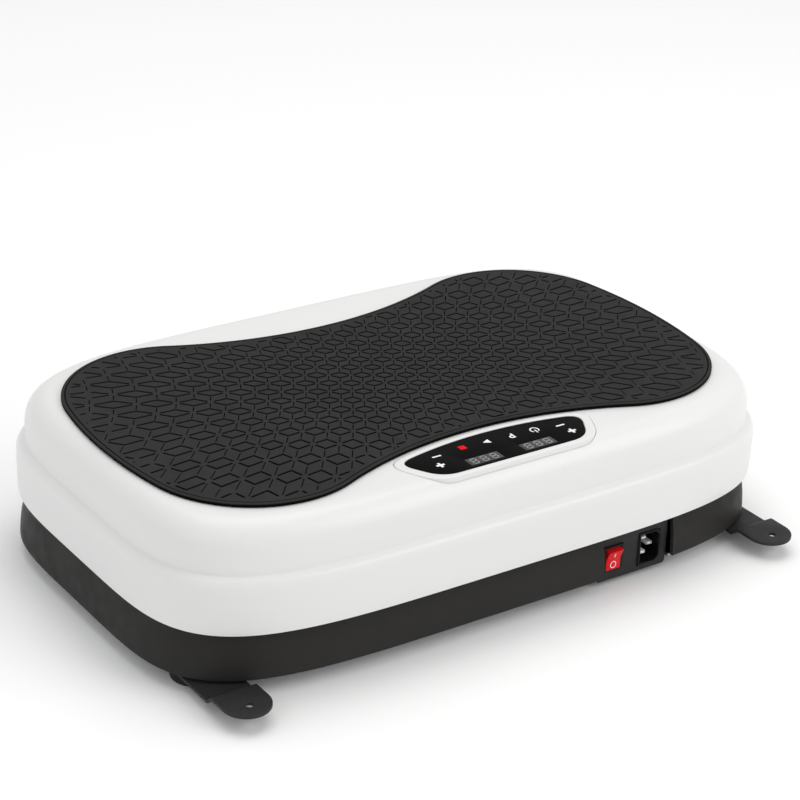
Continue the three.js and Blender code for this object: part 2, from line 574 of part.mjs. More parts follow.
/** Rod from the eccentric up to the platform; its lower eye is left roomy. */
function addRod() {
  const [eyeR, bigR, smallR] = [20.5, 26.5, 9];
  const lean = Math.asin((bigR - smallR) / (WRIST_Z - DRIVE_Z));
  const rod = new THREE.Shape();
  rod.absarc(CRANK_X, DRIVE_Z, bigR, Math.PI - lean, 2 * Math.PI + lean, false);
  rod.absarc(CRANK_X, WRIST_Z, smallR, lean, Math.PI - lean, false);
  rod.holes = [hole(CRANK_X, DRIVE_Z, eyeR), hole(CRANK_X, WRIST_Z, 5 + GAP)];
  add('connecting_rod', thickAlongY(rod, -5, 5, 12), CAST_IRON);
}

function addBelt() {
  const thick = 3;
  const belt = beltLoop(MOTOR_PULLEY_R + GAP + thick, DRIVEN_PULLEY_R + GAP + thick);
  belt.holes = [new THREE.Path(beltLoop(MOTOR_PULLEY_R + GAP, DRIVEN_PULLEY_R + GAP).getPoints(12))];
  add('drive_belt', thickAlongY(belt, BELT_Y - BELT_WIDTH / 2, BELT_Y + BELT_WIDTH / 2, 12), BLACK_PLASTIC);
}

// ---- buffers and control board ------------------------------------------------------------------
function addBuffers() {
  const postTop = FRAME.top - FRAME.thick - FRAME.ribDepth - 23.9;
  const bufferTop = FRAME.top - FRAME.thick - FRAME.ribDepth - 3.7;
  for (const [end, x] of [['left', -182], ['right', 182]]) {
    for (const [side, y] of [['front', -FRAME.ribY], ['rear', FRAME.ribY]]) {
      const stand = turned([
        [0, FLOOR_Z], [20, FLOOR_Z], [20, FLOOR_Z + 3], [11, FLOOR_Z + 3], [11, postTop], [0, postTop],
      ], 16);
      add(`buffer_post_${side}_${end}`, stand.translate(x, y, 0), ZINC_STEEL);
      const rubber = turned([
        [0, postTop + GAP], [14, postTop + GAP], [12.5, postTop + 8], [14, postTop + 16],
        [9, bufferTop], [0, bufferTop],
      ], 16);
      add(`rubber_buffer_${side}_${end}`, rubber.translate(x, y, 0), FOOT_RUBBER);
    }
  }
}

function addControlBoard() {
  const [x0, y0, x1, y1] = [-44, -58, 62, 34];
  const sheetZ = FLOOR_Z + 8;
  const corners = [[x0 + 5, y0 + 5], [x1 - 5, y0 + 5], [x0 + 5, y1 - 5], [x1 - 5, y1 - 5]];
  const board = join(
    box([x0, y0, sheetZ], [x1, y1, sheetZ + 1.6]),
    ...corners.map(([x, y]) => post(x, y, 3, FLOOR_Z, sheetZ + 0.5, 8)),
    post(-26, -38, 9, sheetZ + 1, sheetZ + 26),
    box([-4, -50, sheetZ + 1], [24, -22, sheetZ + 20]),
    box([30, -44, sheetZ + 1], [50, -28, sheetZ + 14]),
    ...[0, 1, 2, 3].map((i) => box([-30 + i * 8, 0, sheetZ + 1], [-27 + i * 8, 24, sheetZ + 18])),
  );
  add('control_board', board, BOARD_GREEN);
}

addShellAndMat();
addConsole();
addPan();
addSkirt();
addPowerPanel();
addInlet();
addSwitch();
addFeet();
addTabs();
addPivot();
addPlatformFrame();
addMotor();
addCrank();
addRod();
addBelt();
addBuffers();
addControlBoard();

export default group;
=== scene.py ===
"""Looks of a vibration plate: a rocking white platform with a rubber mat on a black base.

Sizes are in millimetres in the machine's own frame: x along its length, y across it with the
control panel at the low side, and z up from the floor. Sketch turns them into metres.
"""

import logging
import math
from dataclasses import dataclass, field
from enum import Enum
from typing import Callable, Iterable, Sequence

import bmesh
import bpy
from mathutils import Matrix, Vector
from mathutils.geometry import delaunay_2d_cdt


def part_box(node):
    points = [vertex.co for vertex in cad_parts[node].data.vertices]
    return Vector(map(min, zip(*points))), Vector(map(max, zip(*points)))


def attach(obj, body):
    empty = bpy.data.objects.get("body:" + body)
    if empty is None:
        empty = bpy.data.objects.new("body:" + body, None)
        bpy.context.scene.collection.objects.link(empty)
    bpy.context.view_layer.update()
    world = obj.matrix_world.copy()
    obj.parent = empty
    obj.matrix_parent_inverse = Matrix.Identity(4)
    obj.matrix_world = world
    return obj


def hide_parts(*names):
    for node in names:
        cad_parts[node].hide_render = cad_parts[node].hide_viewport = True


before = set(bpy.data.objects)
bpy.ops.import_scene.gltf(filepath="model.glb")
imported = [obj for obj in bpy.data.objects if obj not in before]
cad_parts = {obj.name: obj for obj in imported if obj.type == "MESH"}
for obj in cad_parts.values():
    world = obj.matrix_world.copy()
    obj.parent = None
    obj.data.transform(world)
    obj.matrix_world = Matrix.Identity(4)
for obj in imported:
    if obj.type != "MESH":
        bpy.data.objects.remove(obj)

Point2 = tuple[float, float]
Point3 = tuple[float, float, float]
Colour = tuple[float, float, float]
Socket = bpy.types.NodeSocket
Piece = bpy.types.Object
Marks = list[tuple[list[Point2], list[list[Point2]]]]

LOG = logging.getLogger("vibration_plate")
MM = 0.001
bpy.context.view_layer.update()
SKIRT_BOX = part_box("base_skirt")
MIDDLE_Y = (SKIRT_BOX[0].y + SKIRT_BOX[1].y) / 2

CLOUD_SIZE = 0.055
PATCH_SIZE = 0.012
RUB_SIZE = 0.004
# Share of the colour left where painted shade is full, in the mat's grooves and on its side wall.
PAINTED_SHADE_BRIGHTNESS = 0.05


def linear(code: int) -> Colour:
    """Turn a screen colour code into the linear light a shader wants.

    Args:
        code: Red, green and blue as one number, such as 0xF0F0EE.

    Returns:
        The three linear channels.
    """
    channels = [(code >> shift & 255) / 255 for shift in (16, 8, 0)]
    red, green, blue = (c / 12.92 if c <= 0.04045 else ((c + 0.055) / 1.055) ** 2.4 for c in channels)
    return red, green, blue


class Texture(Enum):
    """Small-scale surface a finish has."""

    MOULDED = "moulded"
    RUBBER = "rubber"
    GLOSS = "gloss"
    BRUSHED = "brushed"
    CAST = "cast"
    BOARD = "board"


@dataclass(frozen=True)
class Finish:
    """One procedural surface finish.

    Attributes:
        name: Name of the material.
        slot: Material slot of the record that it belongs to; not used in this script.
        code: Colour code.
        roughness: Mean roughness.
        texture: Small-scale surface.
        metallic: One for bare metal.
        coat: Strength of a clear layer on top.
        grain: Grain size in millimetres.
        relief: Height of the grain in millimetres.
        mottle: Share by which the colour drifts over the surface.
        wear: How much lighter rubbed edges are.
        uneven: Share by which the roughness drifts over the surface.
        shine: Strength of the plain reflection.
        shade_from: Height under which painted shade darkens the colour, or None.
        shade_depth: How far below that height the painted shade is full.
    """

    name: str
    slot: str
    code: int
    roughness: float
    texture: Texture = Texture.MOULDED
    metallic: float = 0.0
    coat: float = 0.0
    grain: float = 0.8
    relief: float = 0.01
    mottle: float = 0.03
    wear: float = 0.0
    uneven: float = 0.14
    shine: float = 0.5
    shade_from: float | None = None
    shade_depth: float = 1.0

    def material(self) -> bpy.types.Material:
        """Build the material once and hand back the same one after that.

        Returns:
            The material.
        """
        label = f"{self.name}_finish"
        made = bpy.data.materials.get(label)
        if made is not None:
            return made
        made = bpy.data.materials.new(label)
        made.use_nodes = True
        made.diffuse_color = (*linear(self.code), 1.0)
        nodes = NodeBoard(made.node_tree)
        shader = nodes.shader
        shader.inputs["Metallic"].default_value = self.metallic
        shader.inputs["Coat Weight"].default_value = self.coat
        shader.inputs["Coat Roughness"].default_value = 0.06
        shader.inputs["Specular IOR Level"].default_value = self.shine
        place = nodes.add("ShaderNodeTexCoord").outputs["Object"]
        grain = self._grain(nodes, place)
        cloud = nodes.noise(place, CLOUD_SIZE, 3.0)
        patches = nodes.noise(place, PATCH_SIZE, 5.0)
        smoothest, roughest = (self.roughness * (1 + way * self.uneven) for way in (-1, 1))
        rough = nodes.ranged(patches, 0.35, 0.65, smoothest, roughest)
        nodes.link(rough, shader.inputs["Roughness"])
        colour = self._colour(nodes, cloud, grain, place)
        nodes.link(colour, shader.inputs["Base Color"])
        bump = nodes.add("ShaderNodeBump")
        bump.inputs["Strength"].default_value = 1.0
        bump.inputs["Distance"].default_value = self.relief * MM
        nodes.link(grain, bump.inputs["Height"])
        nodes.link(bump.outputs["Normal"], shader.inputs["Normal"])
        return made

    def _grain(self, nodes: "NodeBoard", place: Socket) -> Socket:
        """Make the height pattern of the texture.

        Args:
            nodes: Where the nodes go.
            place: Position socket.

        Returns:
            A socket with heights from 0 to 1.
        """
        size = self.grain * MM
        if self.texture is Texture.RUBBER:
            cells = nodes.add("ShaderNodeTexVoronoi")
            cells.inputs["Scale"].default_value = 1 / size
            nodes.link(place, cells.inputs["Vector"])
            fine = nodes.noise(place, size * 0.6, 2.0)
            return nodes.mixed(cells.outputs["Distance"], fine, 0.45)
        if self.texture is Texture.BRUSHED:
            stretch = nodes.add("ShaderNodeMapping")
            stretch.inputs["Scale"].default_value = (0.06, 1.0, 1.0)
            nodes.link(place, stretch.inputs["Vector"])
            return nodes.noise(stretch.outputs["Vector"], size, 4.0)
        if self.texture is Texture.CAST:
            return nodes.mixed(nodes.noise(place, size, 6.0), nodes.noise(place, size * 4, 2.0), 0.4)
        return nodes.noise(place, size, 3.0)

    def _colour(
        self,
        nodes: "NodeBoard",
        cloud: Socket,
        grain: Socket,
        place: Socket,
    ) -> Socket:
        """Make the colour with its drift, its rubbed edges and painted shade low down.

        Args:
            nodes: Where the nodes go.
            cloud: Slow pattern, 0 to 1.
            grain: Fine pattern, 0 to 1.
            place: Position socket.

        Returns:
            The colour socket.
        """
        base = linear(self.code)
        dark = tuple(c * (1 - self.mottle) for c in base)
        light = tuple(min(1.0, c * (1 + self.mottle)) for c in base)
        drift = nodes.ranged(nodes.mixed(cloud, grain, 0.3), 0.3, 0.7, 0.0, 1.0)
        colour = nodes.blended(drift, dark, light)
        if self.wear > 0:
            edges = nodes.add("ShaderNodeNewGeometry").outputs["Pointiness"]
            sharp = nodes.ranged(edges, 0.52, 0.62, 0.0, self.wear)
            rubbed = nodes.times(sharp, nodes.noise(place, RUB_SIZE, 4.0))
            worn = tuple(min(1.0, c * 1.6 + 0.05) for c in base)
            colour = nodes.blended(rubbed, colour, worn)
        # Painted shade: below shade_from the colour darkens nearly to black, standing in for the shadow in
        # the grooves and on the side wall.
        if self.shade_from is not None:
            height = nodes.add("ShaderNodeSeparateXYZ")
            nodes.link(place, height.inputs["Vector"])
            low = (self.shade_from - self.shade_depth) * MM
            painted_shade = nodes.ranged(height.outputs["Z"], low, self.shade_from * MM, 1.0, 0.0)
            colour = nodes.blended(painted_shade, colour, tuple(c * PAINTED_SHADE_BRIGHTNESS for c in base))
        return colour


class NodeBoard:
    """Short ways to add and join shader nodes in one material."""

    def __init__(self, tree: bpy.types.NodeTree) -> None:
        """Keep the tree and its shader node."""
        self.tree = tree
        self.shader = tree.nodes["Principled BSDF"]

    def add(self, kind: str) -> bpy.types.Node:
        """Add a node of that kind."""
        return self.tree.nodes.new(kind)

    def link(self, start: Socket, end: Socket) -> None:
        """Join two sockets."""
        self.tree.links.new(start, end)

    def noise(self, place: Socket, size: float, detail: float) -> Socket:
        """Add a noise pattern.

        Args:
            place: Position socket.
            size: Size of one blob, in metres.
            detail: Octaves.

        Returns:
            The pattern's value socket.
        """
        node = self.add("ShaderNodeTexNoise")
        node.inputs["Scale"].default_value = 1 / size
        node.inputs["Detail"].default_value = detail
        self.link(place, node.inputs["Vector"])
        return node.outputs["Fac"]

    def ranged(
        self, value: Socket, low: float, high: float, to_low: float, to_high: float
    ) -> Socket:
        """Stretch a value from one range to another, clamped.

        Args:
            value: What is stretched.
            low: Value that becomes to_low.
            high: Value that becomes to_high.
            to_low: Result at low.
            to_high: Result at high.

        Returns:
            The stretched socket.
        """
        node = self.add("ShaderNodeMapRange")
        for key, number in zip(("From Min", "From Max", "To Min", "To Max"), (low, high, to_low, to_high)):
            node.inputs[key].default_value = number
        self.link(value, node.inputs["Value"])
        return node.outputs["Result"]

    def mixed(self, a: Socket, b: Socket, share: float) -> Socket:
        """Mix two values.

        Args:
            a: First value.
            b: Second value.
            share: Share of the second.

        Returns:
            The mixed socket.
        """
        node = self.add("ShaderNodeMix")
        node.inputs["Factor"].default_value = share
        self.link(a, node.inputs[2])
        self.link(b, node.inputs[3])
        return node.outputs[0]

    def times(self, a: Socket, b: Socket) -> Socket:
        """Multiply two values."""
        node = self.add("ShaderNodeMath")
        node.operation = "MULTIPLY"
        self.link(a, node.inputs[0])
        self.link(b, node.inputs[1])
        return node.outputs[0]

    def blended(
        self,
        share: Socket,
        a: Socket | Sequence[float],
        b: Socket | Sequence[float],
    ) -> Socket:
        """Mix two colours.

        Args:
            share: Share of the second colour.
            a: First colour, a socket or three channels.
            b: Second colour, a socket or three channels.

        Returns:
            The colour socket.
        """
        node = self.add("ShaderNodeMix")
        node.data_type = "RGBA"
        self.link(share, node.inputs["Factor"])
        for socket, colour in ((node.inputs[6], a), (node.inputs[7], b)):
            if isinstance(colour, Socket):
                self.link(colour, socket)
            else:
                socket.default_value = (*colour, 1.0)
        return node.outputs[2]


WHITE_SHELL = Finish(
    "white_abs", "white_shell", 0xE4E4E3, 0.36, coat=0.08, grain=1.4, relief=0.002, mottle=0.005,
    uneven=0.04,
)
BLACK_SKIRT = Finish(
    "skirt_plastic", "black_skirt", 0x2D2C2B, 0.5, grain=0.5, relief=0.02, mottle=0.05, wear=0.2, shine=0.1
)
# The mat's shade_from paints shade into its groove floors and onto its side wall.
MAT_RUBBER = Finish(
    "mat_rubber", "mat_rubber", 0x303130, 0.72, Texture.RUBBER, grain=0.7, relief=0.03, mottle=0.06,
    shine=0.05, shade_from=126.35, shade_depth=0.6,
)
FOOT_RUBBER = Finish("foot_rubber", "foot_rubber", 0x121212, 0.8, Texture.RUBBER, grain=0.6, relief=0.03)
GLOSS_BLACK = Finish(
    "lens_black", "gloss_black", 0x0D0D0D, 0.3, Texture.GLOSS, grain=3.0, relief=0.002, uneven=0.06,
    shine=0.015,
)
WINDOW_GREY = Finish(
    "window_grey", "display_grey", 0x454646, 0.35, Texture.GLOSS, grain=1.0, relief=0.002, shine=0.1
)
SEGMENT_GREY = Finish(
    "segment_grey", "display_grey", 0x9A9C9C, 0.4, Texture.GLOSS, grain=1.0, relief=0.002, shine=0.1
)
PRINT_WHITE = Finish("print_white", "gloss_black", 0xF4F4F4, 0.45, grain=0.4, relief=0.004)
PRINT_RED = Finish("print_red", "gloss_black", 0xE6101A, 0.55, grain=0.4, relief=0.004, shine=0.05)
TAB_STEEL = Finish(
    "tab_steel", "tab_steel", 0x303030, 0.5, Texture.CAST, metallic=0.1, grain=0.35, relief=0.01,
    mottle=0.05, wear=0.35, shine=0.15,
)
SWITCH_RED = Finish(
    "rocker_red", "switch_red", 0xDC1620, 0.35, coat=0.03, grain=0.7, relief=0.006, shine=0.15
)
BLACK_PLASTIC = Finish(
    "panel_black", "black_plastic", 0x292929, 0.5, grain=0.4, relief=0.015, wear=0.2, shine=0.2
)
INLET_BLACK = Finish("inlet_black", "black_plastic", 0x101010, 0.42, grain=0.5, relief=0.01, shine=0.2)
NICKEL = Finish("nickel", "nickel", 0xF4F4F2, 0.3, Texture.BRUSHED, metallic=0.35, grain=0.4, relief=0.003)
BELT_RUBBER = Finish("belt_rubber", "belt_rubber", 0x1C1C1C, 0.75, Texture.RUBBER, grain=0.5, relief=0.03)
MOTOR_PAINT = Finish("motor_paint", "motor_paint", 0x50565C, 0.45, grain=0.9, relief=0.02, wear=0.6)
CAST_IRON = Finish(
    "cast_iron", "cast_iron", 0x4A4D50, 0.6, Texture.CAST, metallic=0.8, grain=1.2, relief=0.08, wear=0.5
)
BOARD_GREEN = Finish(
    "board_green", "board_green", 0x1F5A35, 0.45, Texture.BOARD, grain=0.3, relief=0.01, coat=0.2
)
NYLON = Finish("nylon", "nylon", 0xE6E2D6, 0.5, grain=0.6, relief=0.01)
ZINC_STEEL = Finish(
    "zinc_steel", "zinc_steel", 0xA9ADB2, 0.4, Texture.BRUSHED, metallic=1.0, grain=0.5, relief=0.006,
    mottle=0.08,
)


class Plane(Enum):
    """Which way a sketch lies: its own x, y and up in machine directions."""

    FLAT = "flat"
    FRONT = "front"

    def place(self, point: Point3) -> Point3:
        """Give a sketch point in machine directions; FRONT looks at the panel side, up is out of it."""
        x, y, up = point
        return (x, y, up) if self is Plane.FLAT else (x, -up, y)


def inset_loop(loop: Sequence[Point2], amount: float) -> list[Point2]:
    """Move a closed outline inwards by an amount on every side.

    Args:
        loop: Outline, counterclockwise.
        amount: Distance inwards, or outwards if negative.

    Returns:
        The moved outline, point for point.
    """
    moved = []
    for i, (x, y) in enumerate(loop):
        before, after = loop[i - 1], loop[(i + 1) % len(loop)]
        first = Vector((x - before[0], y - before[1])).normalized()
        second = Vector((after[0] - x, after[1] - y)).normalized()
        normal = Vector((-(first.y + second.y), first.x + second.x))
        if normal.length < 1e-9:
            normal = Vector((-first.y, first.x))
        normal.normalize()
        stretch = max(0.35, normal.x * -first.y + normal.y * first.x)
        moved.append((x + normal.x * amount / stretch, y + normal.y * amount / stretch))
    return moved


def rounded_box(
    half_x: float, half_y: float, corner: float, x: float = 0.0, y: float = 0.0
) -> list[Point2]:
    """Draw a rectangle with round corners.

    Args:
        half_x: Half of its width.
        half_y: Half of its height.
        corner: Corner radius.
        x: Middle.
        y: Middle.

    Returns:
        The outline, counterclockwise.
    """
    loop = []
    for turn, sx, sy in ((0, 1, 1), (1, -1, 1), (2, -1, -1), (3, 1, -1)):
        for step in range(7):
            angle = math.pi / 2 * (turn + step / 6)
            loop.append(
                (
                    x + sx * (half_x - corner) + corner * math.cos(angle),
                    y + sy * (half_y - corner) + corner * math.sin(angle),
                )
            )
    return loop


def circle(radius: float, x: float = 0.0, y: float = 0.0, sides: int = 48) -> list[Point2]:
    """Draw a circle as an outline."""
    turns = [2 * math.pi * i / sides for i in range(sides)]
    return [(x + radius * math.cos(t), y + radius * math.sin(t)) for t in turns]


def soft_levels(low: float, high: float, radius: float, hole: bool = False) -> list[Point2]:
    """List the (inset, height) steps of a wall whose two edges are rounded.

    Args:
        low: Height of the lower edge.
        high: Height of the upper edge.
        radius: Edge radius.
        hole: True for the wall of a hole, which opens out at its edges.

    Returns:
        The steps from low to high.
    """
    side = -1 if hole else 1
    turns = [math.pi / 2 * i / 4 for i in range(5)]
    rise = [(side * radius * (1 - math.sin(t)), low + radius * (1 - math.cos(t))) for t in turns]
    return rise + [(inset, low + high - z) for inset, z in reversed(rise)]


class Sketch:
    """Gathers the rings, walls and caps of one piece, then makes it a mesh."""

    def __init__(self, plane: Plane = Plane.FLAT) -> None:
        """Start empty, on a plane."""
        self.plane = plane
        self.points: list[Point3] = []
        self.faces: list[list[int]] = []

    def ring(
        self, loop: Iterable[Point2], height: float, lift: Callable[[Point2], float] | None = None
    ) -> list[int]:
        """Add a closed ring of points.

        Args:
            loop: Outline.
            height: Its height.
            lift: Extra height at each point, for a piece that is bent.

        Returns:
            The points' numbers.
        """
        start = len(self.points)
        for spot in loop:
            up = height + lift(spot) if lift else height
            self.points.append((spot[0], spot[1], up))
        return list(range(start, len(self.points)))

    def wall(self, low: Sequence[int], high: Sequence[int]) -> None:
        """Join two rings of the same count with quads."""
        count = len(low)
        for i in range(count):
            j = (i + 1) % count
            self.faces.append([low[i], low[j], high[j], high[i]])

    def walls(self, rings: Sequence[Sequence[int]]) -> None:
        """Join each ring with the next."""
        for low, high in zip(rings, rings[1:]):
            self.wall(low, high)

    def stack(
        self,
        loop: Sequence[Point2],
        levels: Sequence[Point2],
        lift: Callable[[Point2], float] | None = None,
    ) -> tuple[list[int], list[int]]:
        """Add a wall of several rings, each inset and lifted by its level.

        Args:
            loop: Outline.
            levels: (inset, height) of each ring.
            lift: Extra height at each point, for a piece that is bent.

        Returns:
            The lowest and highest rings.
        """
        rings = []
        for inset, z in levels:
            moved = inset_loop(loop, inset) if inset else list(loop)
            rings.append(self.ring(moved, z, lift))
        self.walls(rings)
        return rings[0], rings[-1]

    def prism(self, loop: Sequence[Point2], levels: Sequence[Point2]) -> "Sketch":
        """Add a stack that is closed at both ends.

        Args:
            loop: Outline.
            levels: (inset, height) of each ring.

        Returns:
            The sketch itself.
        """
        low, high = self.stack(loop, levels)
        self.cap(low)
        self.cap(high)
        return self

    def cap(
        self,
        outer: Sequence[int],
        holes: Sequence[Sequence[int]] = (),
        creases: Sequence[tuple[int, int]] = (),
    ) -> None:
        """Close a ring with a flat face, leaving holes open.

        Args:
            outer: Ring round the face.
            holes: Rings of the holes.
            creases: Pairs of point numbers that an edge has to join, where a strip bends.
        """
        if not holes and not creases:
            self.faces.append(list(outer))
            return
        for ring, _ in self.regions(outer, holes, creases):
            self.faces.append(ring)

    def regions(
        self,
        outer: Sequence[int],
        holes: Sequence[Sequence[int]],
        creases: Sequence[tuple[int, int]] = (),
        keep_holes: bool = False,
    ) -> list[tuple[list[int], int]]:
        """Split the area inside a ring into triangles.

        Args:
            outer: Ring round the area.
            holes: Rings of the holes.
            creases: Pairs of point numbers that an edge has to join.
            keep_holes: True to return the holes' triangles as well.

        Returns:
            Triangles as point numbers, each with its hole's number or -1.
        """
        numbers = [n for ring in (outer, *holes) for n in ring]
        local = {n: i for i, n in enumerate(numbers)}
        spots = [Vector(self.points[n][:2]) for n in numbers]
        rings = [[local[n] for n in ring] for ring in (outer, *holes)]
        joins = [(local[a], local[b]) for a, b in creases]
        _, _, faces, origin, _, owners = delaunay_2d_cdt(spots, joins, rings, 0, 1e-7)
        found = []
        for face, owner in zip(faces, owners):
            inner = [o for o in owner if o > 0]
            if 0 not in owner or (inner and not keep_holes):
                continue
            found.append(([numbers[origin[v][0]] for v in face], inner[0] - 1 if inner else -1))
        return found

    def block(
        self,
        loop: Sequence[Point2],
        low: float,
        high: float,
        edge: float = 0.25,
        holes: Sequence[Sequence[Point2]] = (),
    ) -> "Sketch":
        """Add a whole plate with rounded edges.

        Args:
            loop: Outline, counterclockwise.
            low: Height of its underside.
            high: Height of its top.
            edge: Edge radius.
            holes: Outlines of holes through it.

        Returns:
            The sketch itself.
        """
        floor, top = self.stack(loop, soft_levels(low, high, edge))
        bores = [self.stack(hole, soft_levels(low, high, edge, True)) for hole in holes]
        self.cap(floor, [bore[0] for bore in bores])
        self.cap(top, [bore[1] for bore in bores])
        return self

    def turned(self, profile: Sequence[Point2], x: float, y: float, sides: int = 64) -> "Sketch":
        """Add a turned body; profile is (radius, height) from the axis and back to it, or closed.

        Args:
            profile: Radius and height pairs.
            x: Axis.
            y: Axis.
            sides: Facets round it.

        Returns:
            The sketch itself.
        """
        rings = [self.ring(circle(r, x, y, sides), z) for r, z in profile if r > 0]
        self.walls(rings)
        if profile[0][0] == 0:
            self.cap(rings[0])
            self.cap(rings[-1])
        else:
            self.wall(rings[-1], rings[0])
        return self

    def moved(self, place: Callable[[Point3], Point3]) -> "Sketch":
        """Move every point of the sketch."""
        self.points = [place(point) for point in self.points]
        return self

    def mesh(self, name: str, angle: float = 32.0) -> Piece:
        """Make the mesh object, with faces turned outwards and smooth shading.

        Args:
            name: Name of the object.
            angle: Edges sharper than this stay sharp, in degrees.

        Returns:
            The object.
        """
        data = bpy.data.meshes.new(name)
        placed = [self.plane.place(point) for point in self.points]
        data.from_pydata([(x * MM, y * MM + MIDDLE_Y, z * MM) for x, y, z in placed], [], self.faces)
        body = bmesh.new()
        body.from_mesh(data)
        bmesh.ops.recalc_face_normals(body, faces=body.faces)
        body.to_mesh(data)
        body.free()
        made = bpy.data.objects.new(name, data)
        bpy.context.scene.collection.objects.link(made)
        smooth(made, angle)
        return made


def smooth(piece: Piece, angle: float) -> None:
    """Shade a mesh smooth, except over edges sharper than the angle in degrees."""
    piece.data.shade_smooth()
    piece.data.set_sharp_from_angle(angle=math.radians(angle))


def carve(piece: Piece, *tools: Piece) -> Piece:
    """Cut tools out of a piece and remove them.

    Args:
        piece: What is cut.
        tools: What is taken away.

    Returns:
        The piece.
    """
    for tool in tools:
        cut = piece.modifiers.new("cut", "BOOLEAN")
        cut.operation = "DIFFERENCE"
        cut.solver = "EXACT"
        cut.object = tool
        fixed = bpy.data.meshes.new_from_object(
            piece.evaluated_get(bpy.context.evaluated_depsgraph_get())
        )
        piece.modifiers.clear()
        piece.data = fixed
        bpy.data.objects.remove(tool)
    return piece


def dress(piece: Piece, finish: Finish, body: str, *stands_for: str) -> Piece:
    """Give a piece its finish and its body, and hide the CAD nodes it stands for.

    Args:
        piece: The piece.
        finish: Its finish.
        body: The CAD body that it moves with.
        stands_for: CAD nodes.

    Returns:
        The piece.
    """
    piece.data.materials.clear()
    piece.data.materials.append(finish.material())
    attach(piece, body)
    if stands_for:
        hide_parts(*stands_for)
    LOG.info("%s: %d points, %s on %s", piece.name, len(piece.data.vertices), finish.name, body)
    return piece


@dataclass
class PlanOutline:
    """The machine's outline seen from above: a rectangle with bowed sides and full corners."""

    half_length: float = 265.0
    half_width: float = 171.5
    power: float = 4.67
    steps: int = 360
    dense_steps: int = 20000
    turns: list[float] = field(default_factory=list)

    def __post_init__(self) -> None:
        """Space the points evenly round the outline."""
        dense = [2 * math.pi * i / self.dense_steps for i in range(self.dense_steps + 1)]
        spots = [self.point(turn, 0) for turn in dense]
        walked = [0.0]
        for a, b in zip(spots, spots[1:]):
            walked.append(walked[-1] + math.dist(a, b))
        quarter = self.steps // 4
        dense_quarter = self.dense_steps // 4
        picks = []
        for side in range(4):
            start, end = walked[side * dense_quarter], walked[(side + 1) * dense_quarter]
            picks += [start + (end - start) * i / quarter for i in range(quarter)]
        at = 0
        for pick in picks:
            while walked[at] < pick - 1e-9:
                at += 1
            self.turns.append(dense[at])

    def point(self, turn: float, inset: float) -> Point2:
        """Give the outline's point at a turn, moved in by an inset."""
        x = self._along(math.cos(turn), self.half_length - inset)
        return x, self._along(math.sin(turn), self.half_width - inset)

    def _along(self, share: float, half: float) -> float:
        """Give one coordinate of the outline."""
        return math.copysign(half * abs(share) ** (2 / self.power), share) if abs(share) > 1e-12 else 0.0

    def loop(self, inset: float) -> list[Point2]:
        """Give the whole outline, moved in by an inset."""
        return [self.point(turn, inset) for turn in self.turns]


def eased(profile: Sequence[Point2], parts: int = 4) -> list[Point2]:
    """Run a smooth curve through a profile's points.

    Args:
        profile: Points.
        parts: Pieces between each two.

    Returns:
        The finer profile.
    """

    def between(p: float, q: float, r: float, s: float, t: float) -> float:
        """Give one coordinate at a share of the way from q to r."""
        square = (2 * p - 5 * q + 4 * r - s) * t**2
        cube = (3 * q - p - 3 * r + s) * t**3
        return 0.5 * (2 * q + (r - p) * t + square + cube)

    ends = [profile[0], *profile, profile[-1]]
    fine = []
    for near in zip(ends, ends[1:], ends[2:], ends[3:]):
        for i in range(parts):
            fine.append(tuple(between(*numbers, i / parts) for numbers in zip(*near)))
    return [*fine, profile[-1]]


@dataclass
class ConsoleOutline:
    """Outline of the control panel: straight front, slanting sides, back edge along the mat."""

    middle: float = 1.5
    front: float = -150.0
    front_half: float = 68.0
    back_half: float = 86.0
    back_gap: float = 1.6
    corner: float = 15.0
    mat_waist: float = 99.0
    mat_radius: float = 294.0

    def moved_in(self, amount: float) -> "ConsoleOutline":
        """Give the same outline moved in by an amount on every side."""
        return ConsoleOutline(
            self.middle, self.front + amount, self.front_half - amount, self.back_half - amount,
            self.back_gap + amount, max(self.corner - amount, 3.0),
        )

    def loop(self) -> list[Point2]:
        """Draw the outline.

        Returns:
            Its points, counterclockwise from the front left corner.
        """
        back_y = self._back(self.back_half)
        ease = self.corner / math.hypot(self.back_half - self.front_half, back_y - self.front)
        arc_half = self.back_half - self.corner
        straight = 1 - self.corner / self.front_half
        half = [(self.front_half * i / 12 * straight, self.front) for i in range(12)]
        start = (self.front_half - self.corner, self.front)
        half += self._corner(start, (self.front_half, self.front), self._side(ease))
        half += [self._side(ease + (1 - 2 * ease) * i / 4) for i in range(1, 4)]
        end = (arc_half, self._back(arc_half))
        half += self._corner(self._side(1 - ease), (self.back_half, back_y), end)
        arc = [arc_half * (1 - i / 20) for i in range(1, 21)]
        half += [(x, self._back(x)) for x in arc]
        mirrored = [(-x, y) for x, y in reversed(half[1:-1])]
        return [(self.middle + x, y) for x, y in half + mirrored]

    def _back(self, x: float) -> float:
        """Give the back edge's y, which follows the mat's waist."""
        radius = self.mat_radius - self.back_gap
        return -(self.mat_waist + self.mat_radius) + math.sqrt(radius**2 - x**2)

    def _side(self, share: float) -> Point2:
        """Give the point at a share of the way up the slanting side."""
        back_y = self._back(self.back_half)
        x = self.front_half + (self.back_half - self.front_half) * share
        return x, self.front + (back_y - self.front) * share

    @staticmethod
    def _corner(start: Point2, knee: Point2, end: Point2) -> list[Point2]:
        """Draw a rounded corner from start to end, pulled towards the knee."""
        spots = []
        for i in range(11):
            t = i / 10
            a, b, c = (1 - t) ** 2, 2 * t * (1 - t), t**2
            spots.append(tuple(a * p + b * q + c * r for p, q, r in zip(start, knee, end)))
        return spots


